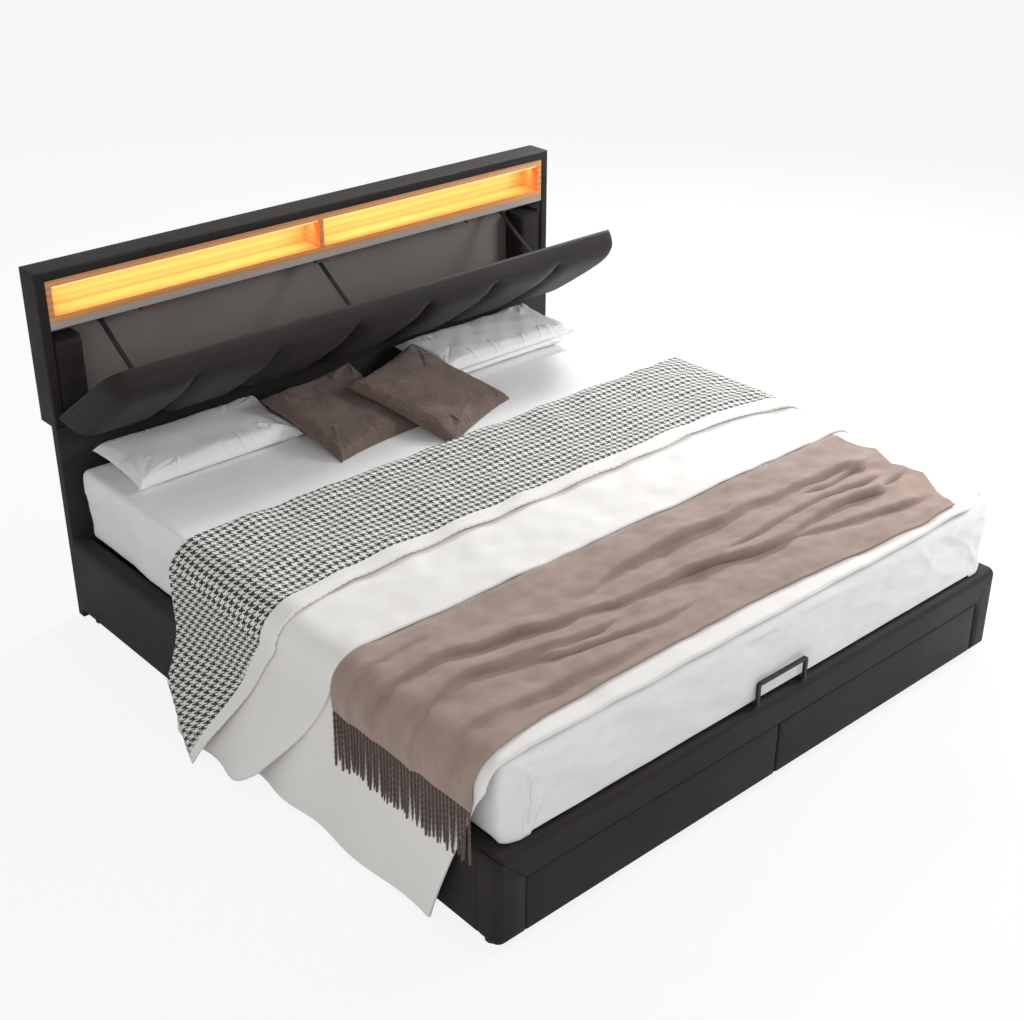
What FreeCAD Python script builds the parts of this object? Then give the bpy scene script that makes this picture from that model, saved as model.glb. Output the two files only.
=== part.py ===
import FreeCAD, Part
import math
import os

# Upholstered storage bed: a padded base on black glides, a slatted platform that lifts on arms and gas
# springs, two drawers in the foot end, and a headboard box with lit cubbies and a padded drop-down flap.
# Frame: +X to the right seen from the foot, +Y towards the headboard, +Z up, origin on the floor under
# the middle of the base.

os.makedirs("parts", exist_ok=True)
V = FreeCAD.Vector
ORIGIN = V(0, 0, 0)
ACROSS = V(1, 0, 0)
ALONG = V(0, 1, 0)
UP = V(0, 0, 1)

# Driving dimensions of the base
base_width = 2080.0
base_length = 2080.0
ground_gap = 30.0
rail_top = 300.0
rail_thickness = 50.0
rail_board = 25.0
cover_round = 20.0
cover_lip = 8.0
cover_turn = 4.0
foot_return = 74.0
post_width = 91.0
drawer_opening_top = 205.0
overrun = 5.0
match_share = 0.002

# Driving dimensions of the mattress and the platform
mattress_side_margin = 75.0
mattress_end_margin = 47.0
mattress_height = 224.0
mattress_bottom = 326.0
mattress_head_gap = 25.0
mattress_round = 35.0

# Driving dimensions of the headboard
headboard_inset = 4.0
headboard_depth = 100.0
headboard_bottom = 684.0
headboard_top = 1188.0
flap_angle = 55.0
flap_short = 54.0
flap_length = headboard_top - headboard_bottom - flap_short
flap_end_gap = 6.0
flap_thickness = 105.0

half_width = base_width / 2
half_length = base_length / 2
mattress_width = base_width - 2 * mattress_side_margin
mattress_length = base_length - mattress_end_margin
headboard_width = base_width - 2 * headboard_inset
flap_width = headboard_width - 2 * flap_end_gap
foot_face = -half_length
head_plane = half_length
rail_inner = half_width - rail_thickness
board_outer = rail_inner + rail_board
foot_inner = foot_face + rail_thickness
foot_board_front = foot_inner - rail_board
post_inner = half_width - post_width
mattress_top = mattress_bottom + mattress_height
mattress_head = head_plane - mattress_head_gap
mattress_foot = mattress_head - mattress_length


def block(x, y, z):
    """A box from three (low, high) pairs."""
    return Part.makeBox(x[1] - x[0], y[1] - y[0], z[1] - z[0], V(x[0], y[0], z[0]))


def mirrored(shape):
    """The same piece on the other side of the bed."""
    return shape.mirror(ORIGIN, ACROSS)


def pair(shape):
    """A piece and its twin on the left side."""
    return [shape, mirrored(shape)]


def bar_x(radius, x, y, z):
    """A round bar along X between the two values of x."""
    return Part.makeCylinder(radius, x[1] - x[0], V(x[0], y, z), ACROSS)


def disc(radius, height, x, y, z):
    """A round piece standing on z."""
    return Part.makeCylinder(radius, height, V(x, y, z), UP)


def plate(points, x):
    """A plate whose outline is (y, z) points, between the two values of x."""
    wire = Part.makePolygon([V(x[0], y, z) for y, z in points + points[:1]])
    return Part.Face(wire).extrude(V(x[1] - x[0], 0, 0))


def fused(shapes):
    """Touching pieces joined into one solid."""
    return shapes[0].multiFuse(shapes[1:]).removeSplitter()


def edges_at(shape, x=None, y=None, z=None):
    """The edges whose two ends lie at the given places."""
    found = []
    for edge in shape.Edges:
        near = True
        for wanted, axis in ((x, 0), (y, 1), (z, 2)):
            if wanted is not None:
                off = [abs(v.Point[axis] - wanted) for v in edge.Vertexes]
                near = near and max(off) < overrun * match_share
        if near:
            found.append(edge)
    return found


def save(name, shapes):
    """Writes one node; a group of like pieces stays a group of separate solids."""
    solids = []
    for shape in shapes:
        solids.extend(shape.Solids)
    whole = solids[0] if len(solids) == 1 else Part.makeCompound(solids)
    whole.exportStep("parts/" + name + ".step")


# Side rails: a board with its padded cover, which wraps over the top and under the bottom
rail_start = foot_face + foot_return
rail_y = (rail_start, head_plane)
board_z = (ground_gap + cover_turn, rail_top - cover_lip)
side_board = block((rail_inner, board_outer), rail_y, board_z)
side_body = block((rail_inner, half_width), rail_y, (ground_gap, rail_top))
side_body = side_body.makeFillet(cover_round, edges_at(side_body, x=half_width, z=rail_top))
save("side_rail_covers", pair(side_body.cut(side_board)))

# Foot rail: a top rail and two posts that turn the corner, boards under one cover
return_y = (foot_face, rail_start)
foot_y = (foot_face, foot_inner)
foot_body = fused([
    block((-half_width, half_width), foot_y, (drawer_opening_top, rail_top)),
    block((post_inner, half_width), foot_y, (ground_gap, rail_top)),
    block((-half_width, -post_inner), foot_y, (ground_gap, rail_top)),
    block((rail_inner, half_width), return_y, (ground_gap, rail_top)),
    block((-half_width, -rail_inner), return_y, (ground_gap, rail_top)),
])
rounded = edges_at(foot_body, y=foot_face, z=rail_top)
for side in (-half_width, half_width):
    rounded += edges_at(foot_body, x=side, z=rail_top) + edges_at(foot_body, x=side, y=foot_face)
foot_body = foot_body.makeFillet(cover_round, rounded)
foot_board_y = (foot_board_front, foot_inner)
post_board = (post_inner + cover_lip, board_outer)
top_board_z = (drawer_opening_top + cover_lip, board_z[1])
foot_boards = [block((-post_board[0], post_board[0]), foot_board_y, top_board_z)]
foot_boards += pair(block(post_board, foot_board_y, board_z))
foot_boards += pair(block((rail_inner, board_outer), (foot_inner, rail_start), board_z))
save("foot_rail_cover", [foot_body.cut(fused(foot_boards))])

# Head rail between the side rails
head_rail_y = (head_plane - rail_board, head_plane)
head_rail = block((-rail_inner, rail_inner), head_rail_y, (board_z[0], rail_top))
save("rail_boards", pair(side_board) + foot_boards + [head_rail])

# Black glides under the rails
glide_radius = 20.0
glide_inset = 60.0
glide_x = rail_inner + rail_board / 2
glides = []
glides_per_side = 4
glide_span = base_length - 2 * glide_inset
for n in range(glides_per_side):
    y = foot_face + glide_inset + glide_span * n / (glides_per_side - 1)
    glides += pair(disc(glide_radius, ground_gap, glide_x, y, 0))

# Steel angles inside the four corners, each with two bolts per leg
angle_leg = 60.0
angle_thickness = 4.0
angle_bottom = 90.0
angle_height = 90.0
bolt_radius = 4.0
bolt_head_radius = 7.0
bolt_head_height = 4.0
bolt_length = 18.0
bolt_up_shares = (0.25, 0.75)
bolt_along_share = 0.6
angle_z = (angle_bottom, angle_bottom + angle_height)
angle_bolts = []
angles = []
for corner_y, inward in ((rail_start, 1), (head_rail_y[0], -1)):
    leg_y = sorted((corner_y, corner_y + inward * angle_leg))
    web_y = sorted((corner_y, corner_y + inward * angle_thickness))
    leg = block((rail_inner - angle_thickness, rail_inner), leg_y, angle_z)
    web = block((rail_inner - angle_leg, rail_inner), web_y, angle_z)
    corner = [leg] if inward > 0 else [leg, web]
    holes = []
    for share in bolt_up_shares:
        z = angle_bottom + angle_height * share
        y = corner_y + inward * angle_leg * bolt_along_share
        angle_face = rail_inner - angle_thickness
        holes.append(bar_x(bolt_radius, (angle_face - overrun, rail_inner + bolt_length), y, z))
        head = bar_x(bolt_head_radius, (angle_face - bolt_head_height, angle_face), y, z)
        shank = bar_x(bolt_radius, (angle_face, rail_inner), y, z)
        angle_bolts += pair(fused([head, shank]))
    body = fused(corner) if len(corner) > 1 else leg
    for hole in holes:
        body = body.cut(hole)
    angles += pair(body)
save("corner_angles", angles)

# Drawer bay: upright dividers, a back and a top behind the foot rail
divider_thickness = 16.0
bay_depth = 486.0
bay_top_board = 9.0
bay_wall_gap = 3.0
bay_back = foot_inner + bay_depth
bay_top = drawer_opening_top - overrun
bay_wall = post_inner - bay_wall_gap
bay_z = (board_z[0], bay_top)
bay_front_y = (foot_inner, bay_back - divider_thickness)
centre_divider = block((-divider_thickness / 2, divider_thickness / 2), bay_front_y, bay_z)
side_divider = block((bay_wall, bay_wall + divider_thickness), bay_front_y, bay_z)
bay_x = (-bay_wall - divider_thickness, bay_wall + divider_thickness)
bay_back_board = block(bay_x, (bay_back - divider_thickness, bay_back), bay_z)
bay_cover = block(bay_x, (foot_inner, bay_back), (bay_top, bay_top + bay_top_board))
save("drawer_bay_boards", [centre_divider, bay_back_board, bay_cover] + pair(side_divider))

# Drawer runners: a channel on each divider, a bar on each drawer side
runner_height = 40.0
runner_thickness = 12.0
runner_web = 2.0
runner_lip = 2.5
runner_play = 0.5
runner_side_gap = 2.0
runner_length = 450.0
runner_bar_length = 410.0
runner_middle = 118.0
runner_inset = 4.0
drawer_travel = 350.0
channel_y = (foot_inner + runner_inset, foot_inner + runner_inset + runner_length)
channels = []
runner_half = runner_height / 2
groove_half = runner_half - runner_lip
bar_half = groove_half - runner_play
for wall, toward in ((divider_thickness / 2, 1), (bay_wall, -1)):
    outer_x = sorted((wall, wall + toward * runner_thickness))
    groove_x = sorted((wall + toward * runner_web, wall + toward * (runner_thickness + overrun)))
    channel = block(outer_x, channel_y, (runner_middle - runner_half, runner_middle + runner_half))
    groove_y = (channel_y[0] - overrun, channel_y[1] + overrun)
    groove_z = (runner_middle - groove_half, runner_middle + groove_half)
    channels += pair(channel.cut(block(groove_x, groove_y, groove_z)))
save("drawer_runner_channels", channels)

# Drawers: a board front with a padded cover, a plywood box, two runner bars
drawer_gap = 2.0
front_board = 20.0
front_pad = 18.0
front_round = 6.0
box_wall = 12.0
box_bottom = 8.0
box_depth = 420.0
box_low = 52.0
box_high = 172.0
front_x = (drawer_gap, post_inner - drawer_gap)
front_z = (ground_gap, drawer_opening_top - drawer_gap)
front_back = foot_face + front_pad + front_board
front_body = block(front_x, (foot_face, front_back), front_z)
front_edges = edges_at(front_body, y=foot_face)
front_body = front_body.makeFillet(front_round, front_edges)
core_x = (front_x[0] + front_round, front_x[1] - front_round)
core_z = (front_z[0] + front_round, front_z[1] - front_round)
front_core = block(core_x, (foot_face + front_pad, front_back), core_z)
front_cover = front_body.cut(front_core)
runner_room = runner_thickness + runner_side_gap
box_x = (divider_thickness / 2 + runner_room, bay_wall - runner_room)
box_y = (front_back, front_back + box_depth)
inside_x = (box_x[0] + box_wall, box_x[1] - box_wall)
wall_z = (box_low + box_bottom, box_high)
drawer_box = [
    block(box_x, box_y, (box_low, box_low + box_bottom)),
    block((box_x[0], inside_x[0]), box_y, wall_z),
    block((inside_x[1], box_x[1]), box_y, wall_z),
    block(inside_x, (box_y[0], box_y[0] + box_wall), wall_z),
    block(inside_x, (box_y[1] - box_wall, box_y[1]), wall_z),
]
bar_reach = runner_side_gap + runner_thickness - runner_web - runner_play
bar_y = (front_back, front_back + runner_bar_length)
bar_z = (runner_middle - bar_half, runner_middle + bar_half)
bars = [
    block((box_x[0] - bar_reach, box_x[0]), bar_y, bar_z),
    block((box_x[1], box_x[1] + bar_reach), bar_y, bar_z),
]
for side_name, place in (("right", lambda shape: shape), ("left", mirrored)):
    save("drawer_front_board_" + side_name, [place(front_core)])
    save("drawer_front_cover_" + side_name, [place(front_cover)])
    save("drawer_box_" + side_name, [place(board) for board in drawer_box])
    save("drawer_runner_bars_" + side_name, [place(bar) for bar in bars])

# Storage floor: panels on steel ledges at the rails and on a low beam along the middle
ledge_thickness = 4.0
ledge_reach = 45.0
ledge_upstand = 22.0
floor_low = 40.0
floor_board = 9.0
panel_gap = 1.0
beam_width = 60.0
centre_glide_height = 8.0
centre_glide_radius = 22.5
centre_glide_inset = 65.0
ledge_y = (bay_back, head_rail_y[0])
ledge_low = floor_low - ledge_thickness
ledge = fused([
    block((rail_inner - ledge_reach, rail_inner), ledge_y, (ledge_low, floor_low)),
    block((rail_inner - ledge_thickness, rail_inner), ledge_y, (ledge_low, ledge_low + ledge_upstand)),
])
panel_outer = rail_inner - ledge_reach + ledge_thickness - panel_gap
floor_middle = (bay_back + head_rail_y[0]) / 2
panels = []
for panel_y in ((bay_back, floor_middle - panel_gap), (floor_middle + panel_gap, head_rail_y[0])):
    panels += pair(block((panel_gap, panel_outer), panel_y, (floor_low, floor_low + floor_board)))
save("storage_floor_panels", panels)
beam = block((-beam_width / 2, beam_width / 2), ledge_y, (centre_glide_height, floor_low))
save("centre_beam", [beam])
centre_glides = []
centre_glide_places = (bay_back, floor_middle, head_rail_y[0] - 2 * centre_glide_inset)
for y in [0] + [place + centre_glide_inset for place in centre_glide_places]:
    centre_glides.append(disc(centre_glide_radius, centre_glide_height, 0, y, 0))
save("floor_glides", glides + centre_glides)

# Platform height, the rests on the rails and the upright partition under the spine
tube_height = 40.0
tube_width = 30.0
rest_gap = 0.3
rest_length = 60.0
rest_upstand = 40.0
rest_reach_share = 0.65
rest_place_shares = (0.09, 0.33, 0.62)
slat_seat = 4.0
slat_thickness = 10.0
partition_thickness = 16.0
partition_head_gap = 480.0
partition_end = head_plane - partition_head_gap
tube_top = mattress_bottom - slat_seat - slat_thickness
tube_bottom = tube_top - tube_height
tube_outer = rail_inner - ledge_reach
rest_z = (tube_bottom - rest_gap - ledge_thickness, tube_bottom - rest_gap)
rests = []
for share in rest_place_shares:
    y = foot_face + base_length * share
    rest_y = (y, y + rest_length)
    rest = fused([
        block((tube_outer - tube_width * rest_reach_share, rail_inner), rest_y, rest_z),
        block((rail_inner - ledge_thickness, rail_inner), rest_y, (rest_z[1] - rest_upstand, rest_z[1])),
    ])
    rests += pair(rest)
save("rail_ledges_and_rests", pair(ledge) + rests)
partition_x = (-partition_thickness / 2, partition_thickness / 2)
partition_z = (floor_low + floor_board, rest_z[1])
save("centre_partition", [block(partition_x, (bay_back, partition_end), partition_z)])

# Lift pivots, as (y, z) places: base pivots A and C, platform pivots B and D
pivot_head_gap = 389.0
pivot_height = 100.0
b_forward = 64.0
b_rise = 158.0
c_back = 101.0
c_drop = 19.0
d_forward = 7.0
d_rise = 148.0
pivot_a = (head_plane - pivot_head_gap, pivot_height)
pivot_b = (pivot_a[0] + b_forward, pivot_a[1] + b_rise)
pivot_c = (pivot_a[0] - c_back, pivot_a[1] - c_drop)
pivot_d = (pivot_a[0] + d_forward, pivot_a[1] + d_rise)
pin_radius = 5.0
small_pin_radius = 4.0
pin_play = 0.05
loose_play = 3.1
pin_head_radius = 8.0
pin_head_thickness = 2.2
pin_head_gap = 0.3
stud_head_radius = 5.5
base_plate_thickness = 5.0
link_gap = 1.5
link_thickness = 4.0
link_end_radius = 13.0
arm_gap = 3.5
arm_thickness = 4.0
arm_head_thickness = 2.5
arm_head_gap = 0.5
base_plate_margin = 22.0
link_outer = rail_inner - base_plate_thickness - link_gap
link_inner = link_outer - link_thickness
arm_outer = link_inner - arm_gap
arm_inner = arm_outer - arm_thickness
link_x = (link_inner, link_outer)

base_plate = plate([
    (pivot_c[0] - base_plate_margin, pivot_c[1] - base_plate_margin * 2 / 3),
    (pivot_a[0] + base_plate_margin, pivot_a[1] - base_plate_margin * 3 / 2),
    (pivot_a[0] + base_plate_margin, pivot_a[1] + base_plate_margin),
    (pivot_c[0] - base_plate_margin, pivot_c[1] + base_plate_margin * 3 / 2),
], (rail_inner - base_plate_thickness, rail_inner))
head_x = (link_inner - pin_head_gap - pin_head_thickness, link_inner - pin_head_gap)
for y, z in (pivot_a, pivot_c):
    pin = bar_x(pin_radius, (head_x[0], rail_inner - base_plate_thickness), y, z)
    base_plate = fused([base_plate, pin, bar_x(pin_head_radius, head_x, y, z)])


def link(first, second, radius, far_radius):
    """A flat arm between two (y, z) pivots with round ends."""
    dy = second[0] - first[0]
    dz = second[1] - first[1]
    reach = math.hypot(dy, dz)
    sideways = V(0, -dz / reach, dy / reach)
    start = V(link_inner, first[0], first[1])
    end = V(link_inner, second[0], second[1])
    near = sideways * radius
    far = sideways * far_radius
    corners = [start + near, end + far, end - far, start - near]
    web = Part.Face(Part.makePolygon(corners + corners[:1])).extrude(V(link_thickness, 0, 0))
    ends = [bar_x(radius, link_x, first[0], first[1]), bar_x(far_radius, link_x, second[0], second[1])]
    return fused([web] + ends)


# Rear links: from the base pivot A up to B, with a tail below A that the gas spring pushes
tail_length = 46.0
tail_radius = 11.0
tail_share = tail_length / math.hypot(pivot_b[0] - pivot_a[0], pivot_b[1] - pivot_a[1])
tail_y = pivot_a[0] - (pivot_b[0] - pivot_a[0]) * tail_share
tail_end = (tail_y, pivot_a[1] - (pivot_b[1] - pivot_a[1]) * tail_share)
spring_eye_thickness = 6.0
spring_eye_gap = 3.5
spring_eye_x = (link_inner - spring_eye_gap - spring_eye_thickness, link_inner - spring_eye_gap)
arm_head_x = (arm_inner - arm_head_gap - arm_head_thickness, arm_inner - arm_head_gap)
stud_head_x = (spring_eye_x[0] - arm_head_gap - arm_head_thickness, spring_eye_x[0] - arm_head_gap)
rear_tail = link(pivot_a, tail_end, link_end_radius, tail_radius)
rear_link = fused([link(pivot_a, pivot_b, link_end_radius, link_end_radius), rear_tail])
link_reach = (link_inner - overrun, link_outer + overrun)
rear_link = rear_link.cut(bar_x(pin_radius + pin_play, link_reach, pivot_a[0], pivot_a[1]))
rear_link = fused([
    rear_link,
    bar_x(pin_radius, (arm_head_x[0], link_inner), pivot_b[0], pivot_b[1]),
    bar_x(pin_head_radius, arm_head_x, pivot_b[0], pivot_b[1]),
    bar_x(small_pin_radius, (stud_head_x[0], link_inner), tail_end[0], tail_end[1]),
    bar_x(stud_head_radius, stud_head_x, tail_end[0], tail_end[1]),
])
save("rear_links", pair(rear_link))

# Front links: from the base pivot C up to D, whose pin has a loose bush in the arm
front_link = link(pivot_c, pivot_d, link_end_radius, link_end_radius)
front_link = front_link.cut(bar_x(pin_radius + pin_play, link_reach, pivot_c[0], pivot_c[1]))
front_link = fused([
    front_link,
    bar_x(small_pin_radius, (arm_head_x[0], link_inner), pivot_d[0], pivot_d[1]),
    bar_x(pin_head_radius, arm_head_x, pivot_d[0], pivot_d[1]),
])
save("front_links", pair(front_link))

# Gas springs: cylinders held at the rails, rods that push the tails of the rear links
spring_back = 401.0
spring_y = pivot_a[0] - spring_back
spring_z = 55.7
spring_radius = 8.0
spring_length = 235.0
spring_rod_radius = 4.0
spring_rod_in = 120.0
spring_bore_depth = 170.0
spring_eye_radius = 9.0
spring_eye_play = 2.0
spring_eye_sink = 2.4
spring_plate_half = 24.0
spring_plate_drop = 12.0
spring_x = (spring_eye_x[0] + spring_eye_x[1]) / 2
spring_foot = block(
    (rail_inner - base_plate_thickness, rail_inner),
    (spring_y - spring_plate_half, spring_y + spring_plate_half),
    (floor_low - ledge_thickness + ledge_upstand, spring_z + spring_plate_half + spring_plate_drop),
)
spring_stud = bar_x(small_pin_radius, (stud_head_x[0], rail_inner - base_plate_thickness), spring_y, spring_z)
spring_bracket = fused([spring_foot, spring_stud, bar_x(stud_head_radius, stud_head_x, spring_y, spring_z)])
save("lift_base_plates", pair(base_plate) + pair(spring_bracket))
cylinder_y = spring_y + spring_eye_radius - spring_eye_sink
cylinder_end = cylinder_y + spring_length
eye_reach = (spring_eye_x[0] - overrun, spring_eye_x[1] + overrun)
cylinder = fused([
    bar_x(spring_eye_radius, spring_eye_x, spring_y, spring_z),
    Part.makeCylinder(spring_radius, spring_length, V(spring_x, cylinder_y, spring_z), ALONG),
])
cylinder = cylinder.cut(bar_x(small_pin_radius + pin_play, eye_reach, spring_y, spring_z))
bore_start = V(spring_x, cylinder_end - spring_bore_depth, spring_z)
spring_bore = Part.makeCylinder(spring_rod_radius + pin_play, spring_bore_depth + overrun, bore_start, ALONG)
save("gas_spring_cylinders", pair(cylinder.cut(spring_bore)))
rod_start = V(spring_x, cylinder_end - spring_rod_in, spring_z)
rod_length = tail_end[0] - spring_eye_radius - cylinder_end + spring_rod_in
rod = Part.makeCylinder(spring_rod_radius, rod_length, rod_start, ALONG)
rod_ring = bar_x(spring_eye_radius, spring_eye_x, tail_end[0], spring_z)
rod = fused([rod, rod_ring]).cut(bar_x(small_pin_radius + spring_eye_play, eye_reach, tail_end[0], spring_z))
save("gas_spring_rods", pair(rod))

# Platform: welded tube frame with a spine, and the plates that the links carry
platform_foot_gap = 8.0
platform_head_gap = 45.0
platform_foot = foot_inner + platform_foot_gap
platform_head = head_plane - platform_head_gap
tube_z = (tube_bottom, tube_top)
inner_y = (platform_foot + tube_width, platform_head - tube_width)
frame_tubes = [
    block((tube_outer - tube_width, tube_outer), (platform_foot, platform_head), tube_z),
    block((-tube_outer, tube_width - tube_outer), (platform_foot, platform_head), tube_z),
    block((-tube_outer, tube_outer), (platform_foot, inner_y[0]), tube_z),
    block((-tube_outer, tube_outer), (inner_y[1], platform_head), tube_z),
    block((-tube_width / 2, tube_width / 2), (platform_foot, platform_head), tube_z),
]
for share in (1 / 3, 2 / 3):
    y = platform_foot + (platform_head - platform_foot) * share
    frame_tubes.append(block((-tube_outer, tube_outer), (y, y + tube_width), tube_z))
save("platform_frame", [fused(frame_tubes)])
arm_margin = 17.0
spacer_length = 36.0
spacer_drop = 8.0
arm_top = tube_top - spacer_drop
arm_head = pivot_b[0] + 2 * arm_margin
arm_foot = pivot_d[0] - 3 * arm_margin
arm = plate([
    (arm_foot, arm_top - spacer_drop - arm_margin),
    (pivot_d[0] - arm_margin, pivot_d[1] - arm_margin),
    (pivot_b[0] + arm_margin, pivot_b[1] - arm_margin),
    (arm_head, arm_top - spacer_drop - arm_margin),
    (arm_head, arm_top),
    (arm_foot, arm_top),
], (arm_inner, arm_outer))
spacer_z = (arm_top - spacer_drop - arm_margin, arm_top)
for y in (arm_foot, arm_head - spacer_length):
    arm = arm.fuse(block((tube_outer, arm_inner), (y, y + spacer_length), spacer_z))
arm = arm.removeSplitter()
arm_reach = (arm_inner - overrun, arm_outer + overrun)
arm = arm.cut(bar_x(pin_radius + pin_play, arm_reach, pivot_b[0], pivot_b[1]))
arm = arm.cut(bar_x(small_pin_radius + loose_play, arm_reach, pivot_d[0], pivot_d[1]))
save("lift_arms", pair(arm))

# Sprung slats in caps on the tubes and on the spine
slat_width = 64.0
slat_count = 13
slat_play = 0.3
cap_wall = 5.0
cap_length = 40.0
slat_first = platform_foot + slat_width
slat_pitch = (platform_head - platform_foot - 2 * slat_width) / (slat_count - 1)
slats = []
caps = []
cap_half = slat_width / 2 + cap_wall
pocket_half = slat_width / 2 + slat_play
slat_z = (tube_top + slat_seat, mattress_bottom)
slat_end = tube_outer - cap_wall - slat_play
pocket_z = (slat_z[0], slat_z[1] + overrun)
slat_in = cap_wall / 2
for n in range(slat_count):
    y = slat_first + slat_pitch * n
    slat_y = (y - slat_width / 2, y + slat_width / 2)
    cap_y = (y - cap_half, y + cap_half)
    pocket_y = (y - pocket_half, y + pocket_half)
    slats += pair(block((slat_in + slat_play, slat_end), slat_y, slat_z))
    cap = block((tube_outer - cap_length, tube_outer), cap_y, (tube_top, mattress_bottom))
    pocket_x = (tube_outer - cap_length - overrun, tube_outer - cap_wall)
    caps += pair(cap.cut(block(pocket_x, pocket_y, pocket_z)))
    middle = block((-cap_length, cap_length), cap_y, (tube_top, mattress_bottom))
    room = block((slat_in, cap_length + overrun), pocket_y, pocket_z)
    caps.append(middle.cut(room).cut(mirrored(room)))
save("slats", slats)
save("slat_caps", caps)

# Pull handle: a square bar from the foot tube over the foot rail and up
handle_width = 208.0
handle_bar = 10.0
handle_height = 378.0
handle_setback = 3.0
handle_clear = 2.0
handle_front = foot_face + handle_setback
handle_low = rail_top + handle_clear
handle_half = handle_width / 2
handle_y = (handle_front, handle_front + handle_bar)
handle_cut_y = (handle_front - overrun, handle_front + handle_bar + overrun)
handle_face = block((-handle_half, handle_half), handle_y, (handle_low, handle_height))
handle_corners = edges_at(handle_face, x=-handle_half, z=handle_height)
handle_corners += edges_at(handle_face, x=handle_half, z=handle_height)
handle_face = handle_face.makeFillet(handle_bar, handle_corners)
handle_inner = handle_half - handle_bar
gap_z = (handle_low - overrun, handle_height - handle_bar)
handle_gap = block((-handle_inner, handle_inner), handle_cut_y, gap_z)
leg_z = (handle_low, handle_low + handle_bar)
handle_leg = block((handle_inner, handle_half), (handle_front, platform_foot), leg_z)
save("pull_handle", [fused([handle_face.cut(handle_gap)] + pair(handle_leg))])

# Mattress with its fitted sheet
mattress_x = (-mattress_width / 2, mattress_width / 2)
mattress = block(mattress_x, (mattress_foot, mattress_head), (mattress_bottom, mattress_top))
mattress = mattress.makeFillet(mattress_round, mattress.Edges)
save("mattress", [mattress])

# Headboard box: boards, an upholstered surround, a back
wrap = 15.0
wrap_lip = 8.0
wrap_round = 6.0
board_thickness = 16.0
top_board = 15.0
bottom_board = 23.0
back_board = 6.0
box_half = headboard_width / 2
headboard_back = head_plane + headboard_depth
carcass_half = box_half - wrap
room_half = carcass_half - board_thickness
carcass_top = headboard_top - wrap
carcass_bottom = headboard_bottom + wrap
room_top = carcass_top - top_board
room_bottom = carcass_bottom + bottom_board
carcass_y = (head_plane + wrap_lip, headboard_back)
room_y = (head_plane + wrap_lip, headboard_back - back_board)
side_z = (carcass_bottom, carcass_top)
carcass_side = block((room_half, carcass_half), carcass_y, side_z)
carcass_lid = block((-room_half, room_half), carcass_y, (room_top, carcass_top))
carcass_base = block((-room_half, room_half), carcass_y, (carcass_bottom, room_bottom))
save("headboard_boards", pair(carcass_side) + [carcass_lid, carcass_base])
room_x = (-room_half, room_half)
save("headboard_back_board", [block(room_x, (room_y[1], headboard_back), (room_bottom, room_top))])
surround = block((-box_half, box_half), (head_plane, headboard_back), (headboard_bottom, headboard_top))
surround = surround.makeFillet(wrap_round, edges_at(surround, y=head_plane))
carcass_x = (-carcass_half, carcass_half)
surround = surround.cut(block(carcass_x, (carcass_y[0], headboard_back + overrun), side_z))
surround = surround.cut(block(room_x, (head_plane - overrun, headboard_back), (room_bottom, room_top)))
save("headboard_surround", [surround])

# Two wooden cubbies in the top of the box, each with a light strip behind its top edge
cubby_height = 131.0
cubby_bottom = room_top - cubby_height
cubby_side = 19.0
cubby_top_board = 20.0
cubby_floor = 18.0
cubby_divider = 18.0
cubby_back = 6.0
led_depth = 10.0
led_height = 5.0
led_setback = 6.0
cubby_setback = 2.0
cubby_y = (head_plane + cubby_setback, room_y[1])
cubby_inner_half = room_half - cubby_side
cubby_z = (cubby_bottom + cubby_floor, room_top - cubby_top_board)
cubby_x = (-cubby_inner_half, cubby_inner_half)
cubby = block(room_x, cubby_y, (cubby_bottom, room_top))
cubby = cubby.cut(block(cubby_x, (cubby_y[0] - overrun, cubby_y[1] + overrun), cubby_z))
cubby_inner_back = cubby_y[1] - cubby_back
cubby_rear = block(cubby_x, (cubby_inner_back, cubby_y[1]), cubby_z)
save("cubby_box", [cubby, cubby_rear])
divider_x = (-cubby_divider / 2, cubby_divider / 2)
save("cubby_divider", [block(divider_x, (cubby_y[0], cubby_inner_back), cubby_z)])
led_y = (cubby_y[0] + led_setback, cubby_y[0] + led_setback + led_depth)
led_z = (cubby_z[1] - led_height, cubby_z[1])
save("light_strips", pair(block((divider_x[1], cubby_inner_half), led_y, led_z)))

# Shelf under the cubbies and the lining of the lower compartment
shelf_thickness = 24.0
lining = 6.0
shelf_bottom = cubby_bottom - shelf_thickness
save("shelf_band", [block((-room_half, room_half), cubby_y, (shelf_bottom, cubby_bottom))])
lining_y = (room_y[1] - lining, room_y[1])
save("compartment_lining", [block((-room_half, room_half), lining_y, (room_bottom, shelf_bottom))])
side_block_width = 102.0
side_block_gap = 40.0
side_block_top = shelf_bottom - side_block_gap
side_block_round = 20.0
side_block_setback = 4.0
side_block_x = (room_half - side_block_width, room_half)
side_block_y = (head_plane + side_block_setback, lining_y[0])
side_block = block(side_block_x, side_block_y, (room_bottom, side_block_top))
block_rounds = edges_at(side_block, x=side_block_x[0], z=side_block_top)
block_rounds += edges_at(side_block, y=side_block_y[0], z=side_block_top)
side_block = side_block.makeFillet(side_block_round, block_rounds)
save("side_blocks", pair(side_block))
catch_width = 50.0
catch_height = 14.0
catch_depth = 20.0
catch_spread = room_half * 2 / 3
catch_setback = 4.0
catch_y = (cubby_y[0] + catch_setback, cubby_y[0] + catch_setback + catch_depth)
catches = []
for x in (-catch_spread, 0, catch_spread):
    catch_x = (x - catch_width / 2, x + catch_width / 2)
    catches.append(block(catch_x, catch_y, (shelf_bottom - catch_height, shelf_bottom)))
save("flap_catches", catches)

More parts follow.
